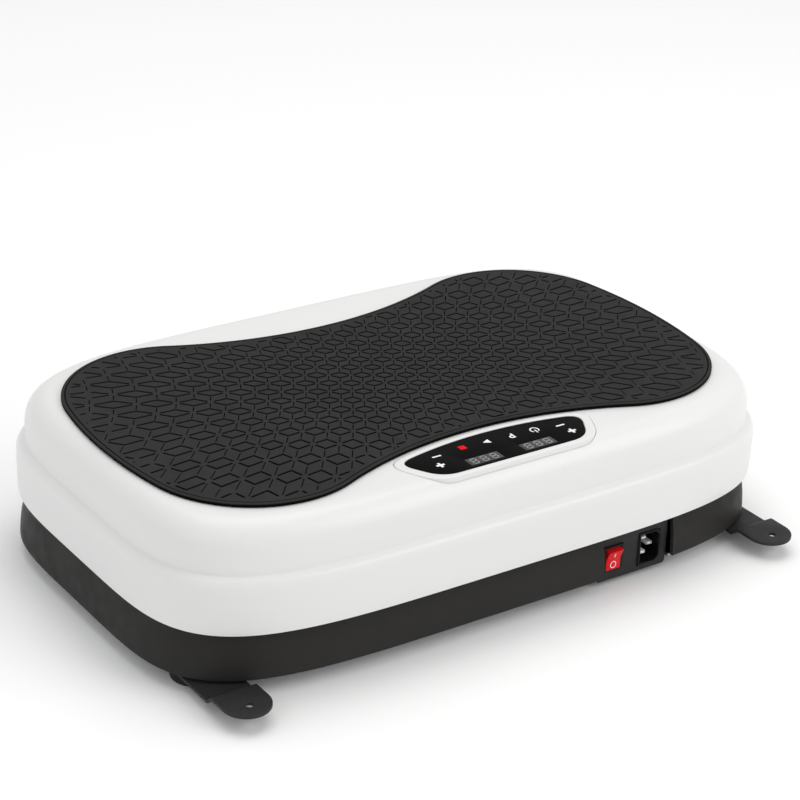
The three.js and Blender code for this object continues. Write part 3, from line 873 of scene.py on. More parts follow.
@dataclass
class TopShell:
    """White cover of the platform: a rounded shoulder over a stepped band."""

    outline: PlanOutline
    console: ConsoleOutline
    gap: float = 0.3
    outside: tuple[Point2, ...] = (
        (8.5, 47.5), (7.95, 53), (7.77, 65), (7.77, 78), (8.2, 82.6), (9.5, 85.7), (11.5, 87.5),
        (13.1, 88.9), (13.3, 91.5), (13.4, 101), (14.6, 109), (17, 114.5), (20.5, 118.8), (25, 121.9),
        (30, 123.2), (36, 123.5),
    )
    inside: tuple[Point2, ...] = (
        (60, 120.9), (36, 120.9), (26, 119.2), (19.5, 113), (16, 103), (15.4, 90), (10.4, 81), (10.7, 47.5),
    )

    def build(self) -> None:
        """Build the shell with its opening for the control panel."""
        sketch = Sketch()
        profile = [*self.inside, *eased(self.outside), (60, 123.5)]
        rings = [sketch.ring(self.outline.loop(inset), z) for inset, z in profile]
        sketch.walls(rings)
        sketch.cap(rings[0])
        sketch.cap(rings[-1])
        hole = self.console.moved_in(-self.gap).loop()
        opening = Sketch().prism(hole, [(0, 95), (0, 140)])
        shell = carve(sketch.mesh("shell"), opening.mesh("shell_opening"))
        smooth(shell, 28)
        dress(shell, WHITE_SHELL, "platform", "top_shell")


@dataclass
class FootMat:
    """Rubber mat with a waist, a plain rim and a field of grooves that spreads towards its ends."""

    base: float = 123.8
    top: float = 126.6
    waist: float = 99.0
    half_length: float = 237.0
    waist_radius: float = 294.0
    lobe_radius: float = 81.0
    end_radius: float = 350.0
    rim: float = 6.0
    edge_x: float = 9.26
    edge_y: float = 8.86
    start: Point2 = (13.12, 5.98)
    middle: Point2 = (-1.08, 4.69)
    lattice: Point2 = (215.0, 125.0)
    groove: float = 1.9
    thin_groove: float = 0.75
    depth: float = 1.7
    wide_share: Point2 = (0.12, 0.82)
    thin_share: Point2 = (0.17, 0.84)
    reach: int = 40

    def arcs(self) -> list[Point2]:
        """Draw the mat's outline as arcs that run into each other.

        Returns:
            Its points, counterclockwise.
        """
        waist_y = self.waist + self.waist_radius
        end_x = self.half_length - self.end_radius
        reach, back = self.waist_radius + self.lobe_radius, self.end_radius - self.lobe_radius
        apart = math.hypot(end_x, waist_y)
        along = (reach**2 - back**2 + apart**2) / (2 * apart)
        aside = math.sqrt(reach**2 - along**2)
        way = (end_x / apart, -waist_y / apart)
        lobe = (way[0] * along - way[1] * aside, waist_y + way[1] * along + way[0] * aside)
        end_turn = math.atan2(lobe[1], lobe[0] - end_x)
        lobe_turn = math.atan2(waist_y - lobe[1], -lobe[0])
        quarter = self._arc((end_x, 0), self.end_radius, 0, end_turn, 26)
        quarter += self._arc(lobe, self.lobe_radius, end_turn, lobe_turn, 60)
        quarter += self._arc((0, waist_y), self.waist_radius, lobe_turn - math.pi, -math.pi / 2, 44)
        loop = quarter + [(-x, y) for x, y in reversed(quarter[:-1])]
        return loop + [(x, -y) for x, y in reversed(loop[1:-1])]

    @staticmethod
    def _arc(middle: Point2, radius: float, start: float, end: float, parts: int) -> list[Point2]:
        """Draw an arc, without its first point unless it starts at zero."""
        turns = [start + (end - start) * i / parts for i in range(0 if start == 0 else 1, parts + 1)]
        return [(middle[0] + radius * math.cos(t), middle[1] + radius * math.sin(t)) for t in turns]

    def spread(self, x: float, y: float) -> Point2:
        """Move a point of the even pattern to where it lies on the mat, wider apart near the rim.

        The weights of the two formulas were fitted, not worked out from the mat's sizes.

        Args:
            x: Place in the even pattern.
            y: Place in the even pattern.

        Returns:
            Its place on the mat.
        """
        u, v = (x - self.middle[0]) / 100, (y - self.middle[1]) / 100
        uu, vv = u * u, v * v
        wider = 1 + 0.04 * uu + 0.1652 * vv + 0.0142 * uu * uu + 0.0824 * uu * vv + 0.0322 * vv * vv
        deeper = 1 + 0.092 * uu + 0.2025 * vv + 0.0181 * uu * uu - 0.0111 * uu * vv + 0.0759 * vv * vv
        return 100 * u * wider + self.middle[0], 100 * v * deeper + self.middle[1]

    def grooves(self, field_loop: Sequence[Point2]) -> list[list[Point2]]:
        """Lay out the grooves: the edges of a pattern of lozenges, cut short of their meeting points.

        Args:
            field_loop: Outline that the grooves stay inside.

        Returns:
            One outline for each groove.
        """
        ways = [(math.cos(t), math.sin(t)) for t in (0, 2 * math.pi / 3, 4 * math.pi / 3)]
        found = []
        for i in range(-self.reach, self.reach + 1):
            for j in range(-self.reach, self.reach + 1):
                x = self.start[0] + 1.5 * self.edge_x * i
                y = self.start[1] + self.edge_y * (math.sqrt(3) * j + (math.sqrt(3) / 2 if i % 2 else 0))
                if abs(x) > self.lattice[0] or abs(y) > self.lattice[1]:
                    continue
                for side in (1, -1):
                    found += self.corner_grooves(x, y, [(side * a, side * b) for a, b in ways], field_loop)
        return found

    def corner_grooves(
        self, x: float, y: float, ways: Sequence[Point2], field_loop: Sequence[Point2]
    ) -> list[list[Point2]]:
        """Draw the bent wide groove and the thin one that meet next to a meeting point.

        Args:
            x: Meeting point of six lozenges in the even pattern.
            y: Meeting point of six lozenges in the even pattern.
            ways: Directions of the two wide arms and of the thin one.
            field_loop: Outline that the grooves stay inside.

        Returns:
            Their outlines.
        """
        knee = (x + ways[0][0] * self.edge_x, y + ways[0][1] * self.edge_y)

        def along(way: Point2, share: float) -> Point2:
            """Give the point at a share of the way back from the knee."""
            x_back, y_back = way[0] * self.edge_x * share, way[1] * self.edge_y * share
            return self.spread(knee[0] - x_back, knee[1] - y_back)

        found = []
        near, far = self.wide_share
        arms = [along(ways[0], far), along(ways[0], 0.0), along(ways[1], far)]
        if all(inside(spot, field_loop) for spot in arms):
            found.append(self.bent_slot(arms, self.groove))
        else:
            for way in ways[:2]:
                found.append(self.slot_shape(along(way, far), along(way, near), self.groove, field_loop))
        near, far = self.thin_share
        thin = along(ways[2], far), along(ways[2], near)
        found.append(self.slot_shape(*thin, self.thin_groove, field_loop))
        return [slot for slot in found if slot]

    @staticmethod
    def bent_slot(arms: Sequence[Point2], wide: float) -> list[Point2]:
        """Draw a groove of one width that turns at its middle point.

        Args:
            arms: Its first end, its knee and its other end.
            wide: Width.

        Returns:
            Its outline, counterclockwise.
        """
        half, ease = wide / 2, wide * 0.3
        start, knee, end = (Vector(spot) for spot in arms)
        first, second = (knee - start).normalized(), (end - knee).normalized()
        left, other = Vector((-first.y, first.x)), Vector((-second.y, second.x))
        mitre = (left + other).normalized()
        mitre *= half / max(0.4, mitre.dot(left))
        up = [start + left * (half - ease), start + first * ease + left * half, knee + mitre]
        up += [end - second * ease + other * half, end + other * (half - ease)]
        down = [end - other * (half - ease), end - second * ease - other * half, knee - mitre]
        down += [start + first * ease - left * half, start - left * (half - ease)]
        return [(spot.x, spot.y) for spot in reversed(up + down)]

    @staticmethod
    def slot_shape(
        start: Point2, end: Point2, wide: float, field_loop: Sequence[Point2]
    ) -> list[Point2] | None:
        """Draw one groove between two points, cut off at the edge of the field.

        Args:
            start: First end.
            end: Second end.
            wide: Width.
            field_loop: Outline that it stays inside.

        Returns:
            Its outline, or None where nothing is left of it.
        """
        steps = 24
        kept = []
        for i in range(steps + 1):
            spot = tuple(a + (b - a) * i / steps for a, b in zip(start, end))
            if inside(spot, field_loop):
                kept.append(spot)
        length = math.dist(kept[0], kept[-1]) if len(kept) > 1 else 0.0
        if length < 2.0:
            return None
        (ax, ay), (bx, by) = kept[0], kept[-1]
        ux, uy = (bx - ax) / length, (by - ay) / length
        h, e = wide / 2, wide * 0.3
        corners = ((0, h - e), (e, h), (length - e, h), (length, h - e))
        half = [(ax + ux * s - uy * t, ay + uy * s + ux * t) for s, t in corners]
        other = [(ax + ux * s + uy * t, ay + uy * s - ux * t) for s, t in reversed(corners)]
        return list(reversed(half + other))

    def build(self) -> None:
        """Build the mat with its grooves."""
        loop = self.arcs()
        sketch = Sketch()
        levels = [(0.5, self.base), (0.0, self.base + 0.4), (0.0, self.top - 0.7)]
        levels += [(0.2, self.top - 0.3), (0.7, self.top - 0.06), (1.4, self.top), (2.3, self.top)]
        levels += [(2.4, self.top - 0.8), (3.2, self.top - 0.8), (3.3, self.top), (4.2, self.top)]
        floor, top = sketch.stack(loop, levels)
        sketch.cap(floor)
        slots = self.grooves(inset_loop(loop, self.rim))
        mouths = [sketch.ring(slot, self.top) for slot in slots]
        beds = [sketch.ring(slot, self.top - self.depth) for slot in slots]
        bed_of = {m: b for mouth, bed in zip(mouths, beds) for m, b in zip(mouth, bed)}
        for triangle, hole in sketch.regions(top, mouths, keep_holes=True):
            sketch.faces.append([bed_of[n] for n in triangle] if hole >= 0 else triangle)
        for mouth, bed in zip(mouths, beds):
            sketch.wall(mouth, bed)
        dress(sketch.mesh("mat", 40), MAT_RUBBER, "platform", "foot_mat")
        LOG.info("the mat has %d grooves", len(slots))


def inside(spot: Point2, loop: Sequence[Point2]) -> bool:
    """Tell whether a point lies inside a closed outline."""
    x, y = spot
    crossed = False
    for (ax, ay), (bx, by) in zip(loop, [*loop[1:], loop[0]]):
        if (ay > y) != (by > y) and x < ax + (y - ay) / (by - ay) * (bx - ax):
            crossed = not crossed
    return crossed


@dataclass
class ControlPanel:
    """Raised white frame with a glossy black window, printed marks and two digit displays."""

    frame_line: ConsoleOutline
    lens_line: ConsoleOutline
    base: float = 113.0
    top: float = 124.1
    lens_low: float = 121.8
    lens_top: float = 123.8
    print_top: float = 123.84
    windows: tuple[tuple[str, float], ...] = (("display_speed", -19.5), ("display_time", 26.0))
    window_y: float = -137.2
    window_half: Point2 = (13.5, 4.8)

    def build(self) -> None:
        """Build the frame, the lens, the displays and the printed marks."""
        self.build_frame()
        self.build_lens()
        for name, x in self.windows:
            self.build_display(name, x)
        self.build_marks()
        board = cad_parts["display_board"]
        finish_node(board, BOARD_GREEN, 0.15)

    def build_frame(self) -> None:
        """Build the white frame with the recess that the lens lies in."""
        outer = self.frame_line.loop()
        recess = self.lens_line.moved_in(-0.3).loop()
        through = self.lens_line.moved_in(3.3).loop()
        sketch = Sketch()
        low, high = sketch.stack(outer, soft_levels(self.base, self.top, 0.9))
        ledge = self.lens_low - 0.3
        levels = [(0, ledge), (0, self.top - 0.5), (-0.15, self.top - 0.15), (-0.5, self.top)]
        recess_low, recess_high = sketch.stack(recess, levels)
        inner_low, inner_high = sketch.stack(through, [(0, self.base), (0, ledge)])
        sketch.wall(high, recess_high)
        sketch.wall(recess_low, inner_high)
        sketch.wall(inner_low, low)
        dress(sketch.mesh("panel_frame", 40), WHITE_SHELL, "platform", "panel_bezel")

    def build_lens(self) -> None:
        """Build the black lens with its two windows."""
        half_x, half_y = self.window_half
        holes = [rounded_box(half_x + 0.3, half_y + 0.3, 0.6, x, self.window_y) for _, x in self.windows]
        sketch = Sketch().block(self.lens_line.loop(), self.lens_low, self.lens_top, 0.3, holes)
        dress(sketch.mesh("panel_window", 40), GLOSS_BLACK, "platform", "panel_lens")

    def build_display(self, name: str, x: float) -> None:
        """Build one display: a grey window with three dark digits.

        Args:
            name: CAD node that it stands for.
            x: Its middle.
        """
        low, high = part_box(name)
        half_x, half_y = self.window_half
        pane = rounded_box(half_x, half_y, 0.5, x, self.window_y)
        body = Sketch().block(pane, low.z / MM, high.z / MM, 0.1)
        dress(body.mesh(f"{name}_window"), WINDOW_GREY, "platform", name)
        digits = Sketch()
        for place in (-8.2, 0.0, 8.2):
            for loop in self.digit(x + place, self.window_y):
                digits.block(loop, high.z / MM - 0.1, high.z / MM + 0.03, 0.02)
        dress(digits.mesh(f"{name}_digits"), SEGMENT_GREY, "platform")

    @staticmethod
    def digit(x: float, y: float) -> list[list[Point2]]:
        """Draw the seven bars of a digit.

        Args:
            x: Middle of the digit.
            y: Middle of the digit.

        Returns:
            One outline for each bar.
        """
        half_w, half_h, bar = 2.1, 3.3, 0.42
        bars = []
        for dy in (-half_h, 0.0, half_h):
            end = half_w - bar
            bars.append([(-end, dy - bar), (end, dy - bar), (end + bar, dy),
                         (end, dy + bar), (-end, dy + bar), (-end - bar, dy)])
        for dx in (-half_w, half_w):
            for middle in (-half_h / 2, half_h / 2):
                end = half_h / 2 - 2 * bar
                bars.append([(dx - bar, middle - end), (dx, middle - end - bar), (dx + bar, middle - end),
                             (dx + bar, middle + end), (dx, middle + end + bar), (dx - bar, middle + end)])
        return [[(x + dx, y + dy) for dx, dy in loop] for loop in bars]

    def build_marks(self) -> None:
        """Build the printed key marks, which face a person standing on the mat."""
        white = Sketch()
        marks: Marks = []
        for x, y in ((-46.4, -119.2), (56.2, -122.7)):
            marks.append((rounded_box(3.6, 0.75, 0.3, x, y), []))
        for x, y in ((-51.5, -131.1), (58.2, -133.6)):
            arm, thick = 3.2, 0.95
            steps = [(arm, -thick), (arm, thick), (thick, thick), (thick, arm),
                     (-thick, arm), (-thick, thick), (-arm, thick), (-arm, -thick),
                     (-thick, -thick), (-thick, -arm), (thick, -arm), (thick, -thick)]
            marks.append(([(x + a, y + b) for a, b in steps], []))
        x, y = -3.7, -117.9
        marks.append(([(x - 3.2, y), (x + 2.4, y - 2.8), (x + 2.4, y + 2.8)], []))
        marks += self.letter_mark(16.5, -119.2)
        marks += self.power_mark(36.1, -119.5)
        for loop, holes in marks:
            white.block(loop, self.lens_top - 0.05, self.print_top, 0.01, holes)
        dress(white.mesh("panel_marks"), PRINT_WHITE, "platform")
        stop = rounded_box(2.6, 2.6, 0.4, -23.5, -117.0)
        red = Sketch().block(stop, self.lens_top - 0.05, self.print_top, 0.01)
        dress(red.mesh("panel_stop_mark"), PRINT_RED, "platform")

    @staticmethod
    def letter_mark(x: float, y: float) -> Marks:
        """Draw the programme key's letter P, its foot towards the mat.

        Args:
            x: Middle.
            y: Middle.

        Returns:
            The outline and the outline of its eye.
        """
        bowl = [(-math.sin(math.pi * i / 10), math.cos(math.pi * i / 10)) for i in range(11)]
        outer = [(-0.2 + 2.1 * a, -1.1 - 2.1 * b) for a, b in bowl]
        outer += [(0.6, 1.0), (0.6, 3.2), (2.0, 3.2), (2.0, -3.2)]
        eye = [(-0.1 + 0.95 * a, -1.1 - 0.95 * b) for a, b in bowl] + [(0.7, -0.15), (0.7, -2.05)]
        turned = [(x + a, y + b) for a, b in reversed(outer)]
        return [(turned, [[(x + a, y + b) for a, b in reversed(eye)]])]

    @staticmethod
    def power_mark(x: float, y: float) -> Marks:
        """Draw the power key's ring, open at the top, with its bar.

        Args:
            x: Middle.
            y: Middle.

        Returns:
            The two outlines, without holes.
        """
        turns = [math.radians(-90 + 38 + 284 * i / 30) for i in range(31)]
        ring = [(x + 3.6 * math.cos(t), y + 3.6 * math.sin(t)) for t in turns]
        ring += [(x + 2.6 * math.cos(t), y + 2.6 * math.sin(t)) for t in reversed(turns)]
        return [(ring, []), (rounded_box(0.5, 2.2, 0.2, x, y - 2.2), [])]


@dataclass
class Base:
    """Black skirt, a little wider at its foot, and the steel pan that closes it."""

    outline: PlanOutline
    profile: tuple[Point2, ...] = (
        (3, 12), (0.6, 12), (0.15, 12.2), (0, 12.8), (0.05, 15), (0.3, 20), (0.75, 25.5), (1.4, 31),
        (2.3, 35.5), (3.2, 40), (3.7, 43), (3.9, 46), (3.9, 62), (6.3, 62), (6.2, 39), (4.4, 29),
    )
    notch: tuple[float, float, float] = (76.7, 142.1, -143.0)

    def build(self) -> None:
        """Build the skirt with the gap for the power panel, and dress the pan."""
        sketch = Sketch()
        rings = [sketch.ring(self.outline.loop(inset), z) for inset, z in self.profile]
        sketch.walls([*rings, rings[0]])
        left, right, back = self.notch
        box = [(left, -170), (right, -170), (right, back), (left, back)]
        tool = Sketch().prism(box, [(0, 0), (0, 44)])
        skirt = carve(sketch.mesh("skirt"), tool.mesh("skirt_notch"))
        smooth(skirt, 30)
        dress(skirt, BLACK_SKIRT, "base", "base_skirt")
        finish_node(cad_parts["base_pan"], ZINC_STEEL, 0.3)


@dataclass
class PowerPanel:
    """Black plate with the red rocker switch and the mains inlet."""

    face: float = 150.7
    plate_x: Point2 = (77.0, 140.3)
    plate_z: Point2 = (4.5, 43.7)
    switch: Point2 = (90.0, 22.2)
    switch_half: Point2 = (9.25, 10.2)
    inlet: Point2 = (124.0, 21.8)
    swing: float = 22.0

    def build(self) -> None:
        """Build the plate, the switch and the inlet."""
        self.build_plate()
        self.build_switch()
        self.build_inlet()

    def build_plate(self) -> None:
        """Build the plate with its two openings and its folded lower edge."""
        left, right = self.plate_x
        low, high = self.plate_z
        corner = [
            (left + 3 - 3 * math.cos(math.pi / 2 * i / 6), low + 3 - 3 * math.sin(math.pi / 2 * i / 6))
            for i in range(7)
        ]
        other = [(right + left - x, z) for x, z in reversed(corner)]
        loop = [*corner, *other, (right, high), (left, high)]
        holes = [rounded_box(8.3, 9.3, 0.4, *self.switch), rounded_box(9.4, 12.5, 0.4, *self.inlet)]
        sketch = Sketch(Plane.FRONT).block(loop, self.face - 2.5, self.face, 0.45, holes)
        fold = [(left + 3, low + 0.05), (right - 3, low + 0.05), (right - 3, low + 2), (left + 3, low + 2)]
        sketch.block(fold, self.face - 8, self.face - 2.3, 0.3)
        dress(sketch.mesh("power_plate", 40), BLACK_PLASTIC, "base", "power_panel")

    def build_switch(self) -> None:
        """Build the switch body, and the red rocker with its two marks."""
        x, z = self.switch
        body = Sketch(Plane.FRONT)
        outer = rounded_box(*self.switch_half, 0.9, x, z)
        pocket = rounded_box(6.8, 8.8, 0.5, x, z)
        seat, rim = self.face + 0.3, self.face + 1.5
        back_low, back_high = body.stack(rounded_box(8, 9, 0.6, x, z), [(0, self.face - 16), (0, seat)])
        levels = [(0, seat), (0, rim - 0.5), (0.15, rim - 0.15), (0.5, rim)]
        front_low, front_high = body.stack(outer, levels)
        body.wall(back_high, front_low)
        body.cap(back_low)
        hole_low, hole_high = body.stack(pocket, [(0, self.face - 7.5), (0, rim - 0.3), (-0.3, rim)])
        body.wall(front_high, hole_high)
        body.cap(hole_low)
        dress(body.mesh("switch_body", 40), INLET_BLACK, "base", "switch_housing")
        self.build_rocker()

    def build_rocker(self) -> None:
        """Build the rocker at rest, its upper half standing out, in the tilted frame of its two faces."""
        x, z = self.switch
        half, wide, tilt = 8.0, 6.5, math.radians(self.swing / 2)
        crest = 1.8
        end = crest + half * math.tan(tilt)
        side = [(-half, -2.0), (-5.0, -4.5), (5.0, -4.5), (half, -2.0), (half, end)]
        ups = [half * (1 - i / 12) for i in range(1, 24)]
        side += [(u, crest + math.tan(tilt) * (math.sqrt(u * u + 0.7) - 0.05 * half / 8)) for u in ups]
        side += [(-half, end)]
        sketch = Sketch()
        rings = []
        for level, inset in ((-wide, 0.35), (-wide + 0.12, 0.12), (-wide + 0.4, 0.0),
                             (wide - 0.4, 0.0), (wide - 0.12, 0.12), (wide, 0.35)):
            loop = inset_loop(side, inset) if inset else side
            rings.append(sketch.ring(loop, level))
        sketch.walls(rings)
        sketch.cap(rings[0])
        sketch.cap(rings[-1])
        turn = Matrix.Rotation(tilt, 4, "X")

        def place(point: Point3) -> Point3:
            """Place a point given up the rocker, out of it and across it."""
            up, out, across = point
            spot = turn @ Vector((across, -out, up))
            return x + spot.x, -self.face + spot.y, z + spot.z

        def on_face(point: Point3) -> Point3:
            """Place a point of a mark, which follows the two faces over the crest."""
            across, up, height = point
            return place((up, crest + slope * math.sqrt(up**2 + 0.7) - 0.02 + height, across))

        dress(sketch.moved(place).mesh("rocker", 35), SWITCH_RED, "rocker", "switch_rocker")
        marks = Sketch()
        slope = math.tan(tilt)
        for loop, holes in (
            (rounded_box(0.32, 1.7, 0.2, 0, 3.9), []),
            (circle(2.7, 0, -4.2, 40), [circle(2.15, 0, -4.2, 40)]),
        ):
            marks.block(loop, -0.05, 0.06, 0.02, holes)
        dress(marks.moved(on_face).mesh("rocker_marks", 60), PRINT_WHITE, "rocker")

    def build_inlet(self) -> None:
        """Build the inlet's body with its recess, and its three pins."""
        x, z = self.inlet
        seat, front = self.face + 0.3, self.face + 1.2
        body = Sketch(Plane.FRONT)
        levels = [(0, seat), (0, front - 0.4), (0.12, front - 0.12), (0.4, front)]
        rim_low, rim_high = body.stack(self.inlet_loop(10.25, 13.2, 4.0), levels)
        back_low, back_high = body.stack(self.inlet_loop(9.1, 12.2, 3.6), [(0, front - 19), (0, seat)])
        levels = [(0, front - 17), (0, front - 0.4), (-0.4, front)]
        mouth_low, mouth_high = body.stack(self.inlet_loop(8.5, 11.8, 3.4), levels)
        body.wall(back_high, rim_low)
        body.cap(back_low)
        body.cap(mouth_low)
        body.wall(rim_high, mouth_high)
        dress(body.mesh("inlet_socket", 40), INLET_BLACK, "base", "inlet_body")
        for name, dx, dz in (("line", -2, 6), ("neutral", -2, -6), ("earth", 4, 0)):
            root = front - 17 + 0.3
            blade = rounded_box(2.4, 1.2, 0.2, x + dx, z + dz)
            levels = [(0, root), (0, root + 10.6), (0.15, root + 11.2), (0.45, root + 11.5)]
            pin = Sketch(Plane.FRONT).prism(blade, levels)
            dress(pin.mesh(f"inlet_blade_{name}", 40), NICKEL, "base", f"inlet_pin_{name}")

    def inlet_loop(self, half_x: float, half_z: float, chamfer: float) -> list[Point2]:
        """Draw the inlet's outline: a rectangle with its two earth-side corners cut off.

        Args:
            half_x: Half of its width.
            half_z: Half of its height.
            chamfer: Size of the cut corners.

        Returns:
            The outline, counterclockwise.
        """
        x, z = self.inlet
        steps = ((-half_x, -half_z), (half_x - chamfer, -half_z), (half_x, -half_z + chamfer),
                 (half_x, half_z - chamfer), (half_x - chamfer, half_z), (-half_x, half_z))
        return [(x + a, z + b) for a, b in steps]


@dataclass
class BandTabs:
    """Two steel straps under the base, each stepped up and rounded at its holed end."""

    places: tuple[tuple[str, float], ...] = (("left", -224.0), ("right", 224.0))
    half: float = 17.0
    tip: float = -186.0
    root: float = -72.0
    hole_y: float = -173.0
    screw_y: float = -103.0
    low: float = 7.3
    steel: float = 2.5
    lift: float = 5.0
    step: Point2 = (-147.0, -154.5)
    bend_points: int = 9
    tip_points: int = 17

    def rise(self, spot: Point2) -> float:
        """Give how far the strap is stepped up at a point."""
        share = min(1.0, max(0.0, (self.step[0] - spot[1]) / (self.step[0] - self.step[1])))
        return self.lift * share * share * (3 - 2 * share)

    def build(self) -> None:
        """Build both straps."""
        for side, x in self.places:
            sketch = Sketch()
            bend = self.step[1] - self.step[0]
            bends = [self.step[0] + bend * i / (self.bend_points - 1) for i in range(self.bend_points)]
            right = [(self.half, y) for y in (*reversed(bends), -130.0, -112.0, -92.0, self.root)]
            turns = [math.pi / 2 * i / (self.tip_points - 1) for i in range(self.tip_points)]
            tip_y = self.tip + self.half
            tip = [(self.half * math.sin(t), tip_y - self.half * math.cos(t)) for t in turns]
            half = [*tip, *right]
            loop = [(x + a, b) for a, b in half + [(-a, b) for a, b in reversed(half[1:])]]
            high = self.low + self.steel
            floor, top = sketch.stack(loop, soft_levels(self.low, high, 0.35), self.rise)
            holes = [circle(2.75, x, self.hole_y, 40), circle(2.8, x, self.screw_y, 32)]
            edges = soft_levels(self.low, high, 0.3, True)
            bores = [sketch.stack(hole, edges, self.rise) for hole in holes]
            pairs = [(i, len(loop) - i) for i in range(self.tip_points, self.tip_points + self.bend_points)]
            for ring, at in ((floor, 0), (top, 1)):
                creases = [(ring[a], ring[b]) for a, b in pairs]
                sketch.cap(ring, [bore[at] for bore in bores], creases)
            dress(sketch.mesh(f"strap_{side}", 30), TAB_STEEL, "base", f"band_tab_{side}")


@dataclass
class Feet:
    """Four round rubber feet, each held by a pan head screw up its middle."""

    radius: float = 17.0
    screw: float = 2.8

    def build(self) -> None:
        """Build the feet and their screws in the places of the CAD nodes."""
        for name in ("front_left", "front_right", "rear_left", "rear_right"):
            low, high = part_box(f"foot_{name}")
            x = (low.x + high.x) / 2 / MM
            y = ((low.y + high.y) / 2 - MIDDLE_Y) / MM
            top, r = high.z / MM, self.radius
            profile = [
                (self.screw, 4.2), (6.3, 4.2), (6.6, 3.9), (6.6, 0.4), (7.0, 0), (10.4, 0), (10.8, 0.5),
                (11.6, 0.5), (12.0, 0), (r - 1.5, 0), (r - 0.6, 0.3), (r - 0.1, 1.0), (r, 1.7),
                (r - 0.75, top - 0.8), (r - 1, top - 0.3), (r - 1.4, top), (self.screw, top),
            ]
            foot = Sketch().turned(profile, x, y).mesh(f"rubber_foot_{name}", 40)
            dress(foot, FOOT_RUBBER, "base", f"foot_{name}")
            self.build_screw(name, x, y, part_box(f"foot_screw_{name}")[1].z / MM)

    @staticmethod
    def build_screw(name: str, x: float, y: float, top: float) -> None:
        """Build one screw with a cross recess.

        Args:
            name: Which foot it holds.
            x: Its axis.
            y: Its axis.
            top: Height of its far end.
        """
        profile = [(0, 1.2), (3.6, 1.2), (4.5, 1.5), (5.1, 2.2), (5.4, 3.6), (5.3, 3.9), (2.5, 3.9),
                   (2.5, top - 0.5), (2.0, top), (0, top)]
        screw = Sketch().turned(profile, x, y, 48).mesh(f"screw_{name}")
        tools = []
        for half_x, half_y in ((2.2, 0.5), (0.5, 2.2)):
            tool = Sketch().prism(rounded_box(half_x, half_y, 0.1, x, y), [(0, 0.5), (0.05, 2.6)])
            tools.append(tool.mesh("recess"))
        dress(carve(screw, *tools), ZINC_STEEL, "base", f"foot_screw_{name}")


def finish_node(node: Piece, finish: Finish, edge: float) -> None:
    """Give a CAD node that stays its finish, and soften its edges.

    Args:
        node: The node.
        finish: Its finish.
        edge: Width of the softened edge, in millimetres.
    """
    node.data.materials.clear()
    node.data.materials.append(finish.material())
    weld = node.modifiers.new("weld", "WELD")
    weld.merge_threshold = 1e-5
    soft = node.modifiers.new("soft_edges", "BEVEL")
    soft.width = edge * MM
    soft.segments = 2
    soft.limit_method = "ANGLE"
    soft.angle_limit = math.radians(40)
    soft.use_clamp_overlap = True
    LOG.info("%s keeps its shape in %s", node.name, finish.name)


@dataclass
class Works:
    """Everything inside: pivot, drive, buffers and control board, which keep their CAD shapes."""

    finishes: tuple[tuple[str, Finish, float], ...] = (
        ("pivot_bracket", ZINC_STEEL, 0.4),
        ("pivot_bush", NYLON, 0.2),
        ("pivot_pin", ZINC_STEEL, 0.3),
        ("platform_frame", ZINC_STEEL, 0.4),
        ("rod_yoke", ZINC_STEEL, 0.4),
        ("wrist_pin", ZINC_STEEL, 0.3),
        ("motor_can", MOTOR_PAINT, 0.4),
        ("motor_shaft", ZINC_STEEL, 0.3),
        ("motor_pulley", CAST_IRON, 0.3),
        ("motor_cradle", CAST_IRON, 0.5),
        ("crank_shaft", ZINC_STEEL, 0.3),
        ("driven_pulley", CAST_IRON, 0.3),
        ("crank_eccentric", CAST_IRON, 0.3),
        ("bearing_block", CAST_IRON, 0.5),
        ("connecting_rod", CAST_IRON, 0.4),
        ("drive_belt", BELT_RUBBER, 0.2),
        ("buffer_post", ZINC_STEEL, 0.3),
        ("rubber_buffer", FOOT_RUBBER, 0.5),
        ("control_board", BOARD_GREEN, 0.15),
    )

    def build(self) -> None:
        """Dress each inner node."""
        for name, node in sorted(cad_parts.items()):
            for start, finish, edge in self.finishes:
                if name.startswith(start):
                    finish_node(node, finish, edge)


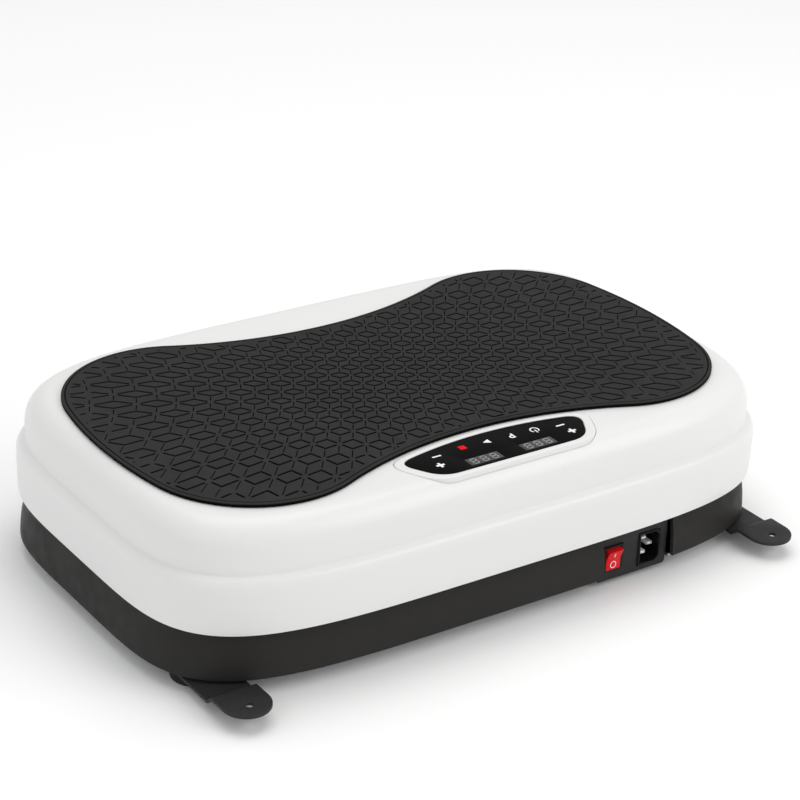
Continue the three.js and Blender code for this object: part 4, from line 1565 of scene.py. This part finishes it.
@dataclass
class Studio:
    """White floor, soft lights and the camera."""

    spot: Point3 = (-886.3, -1263.2, 839.2)
    heading: float = 35.225
    down: float = 25.421
    roll: float = -2.411
    lens: float = 106.0

    def build(self) -> None:
        """Set the scene up."""
        self.place_camera()
        self.lay_floor()
        self.hang_lights()
        bpy.context.scene.view_settings.view_transform = "Standard"

    def place_camera(self) -> None:
        """Make the camera, looking down at the panel side's corner."""
        yaw, pitch, roll = (math.radians(a) for a in (self.heading, self.down, self.roll))
        ahead = Vector((math.sin(yaw) * math.cos(pitch), math.cos(yaw) * math.cos(pitch), -math.sin(pitch)))
        right = Vector((math.cos(yaw), -math.sin(yaw), 0))
        below = ahead.cross(right)
        side = right * math.cos(roll) + below * math.sin(roll)
        under = below * math.cos(roll) - right * math.sin(roll)
        data = bpy.data.cameras.new("camera")
        data.lens, data.sensor_width = self.lens, 36.0
        data.clip_start, data.clip_end = 0.05, 20.0
        camera = bpy.data.objects.new("camera", data)
        place = Vector(self.spot) * MM + Vector((0, MIDDLE_Y, 0))
        facing = Matrix((side, -under, -ahead)).transposed().to_4x4()
        camera.matrix_world = Matrix.Translation(place) @ facing
        bpy.context.scene.collection.objects.link(camera)
        bpy.context.scene.camera = camera

    def lay_floor(self) -> None:
        """Lay a wide pale floor."""
        data = bpy.data.meshes.new("floor")
        data.from_pydata([(-6, -6, 0), (6, -6, 0), (6, 6, 0), (-6, 6, 0)], [], [(0, 1, 2, 3)])
        paint = bpy.data.materials.new("floor_paint")
        paint.use_nodes = True
        shader = paint.node_tree.nodes["Principled BSDF"]
        shader.inputs["Base Color"].default_value = (0.97, 0.97, 0.97, 1)
        shader.inputs["Roughness"].default_value = 0.9
        data.materials.append(paint)
        floor = bpy.data.objects.new("floor", data)
        bpy.context.scene.collection.objects.link(floor)

    def hang_lights(self) -> None:
        """Hang three soft boxes and an even sky."""
        world = bpy.data.worlds.new("studio")
        world.use_nodes = True
        world.node_tree.nodes["Background"].inputs["Color"].default_value = (1, 1, 1, 1)
        world.node_tree.nodes["Background"].inputs["Strength"].default_value = 0.7
        bpy.context.scene.world = world
        self.soft_box("key", (1.6, -2.0, 1.7), 1.8, 22, (1.0, 0.98, 0.955))
        self.soft_box("top", (0.2, 0.3, 2.6), 2.0, 22, (1.0, 1.0, 1.0))
        self.soft_box("left", (-2.2, -0.6, 0.9), 1.2, 2, (0.93, 0.965, 1.0))

    @staticmethod
    def soft_box(name: str, spot: Point3, size: float, power: float, colour: Colour) -> None:
        """Hang one soft box that shines at the machine.

        Args:
            name: Its name.
            spot: Where it hangs, in metres.
            size: Its side, in metres.
            power: Its power in watts.
            colour: Its colour.
        """
        data = bpy.data.lights.new(name, "AREA")
        data.size, data.energy, data.color = size, power, colour
        light = bpy.data.objects.new(name, data)
        light.location = spot
        light.rotation_euler = (-Vector(spot)).to_track_quat("-Z", "Y").to_euler()
        bpy.context.scene.collection.objects.link(light)


def main() -> None:
    """Build every sub-assembly in order."""
    logging.basicConfig(level=logging.INFO, format="%(message)s")
    Studio().build()
    outline = PlanOutline()
    frame_line = ConsoleOutline()
    lens_line = ConsoleOutline(front=-146.0, front_half=60.5, back_half=78.0, back_gap=6.4, corner=13.0)
    TopShell(outline, frame_line).build()
    FootMat().build()
    ControlPanel(frame_line, lens_line).build()
    Base(PlanOutline(half_length=257.0, half_width=159.0, power=4.8)).build()
    PowerPanel().build()
    BandTabs().build()
    Feet().build()
    Works().build()


if __name__ == "__main__":
    main()
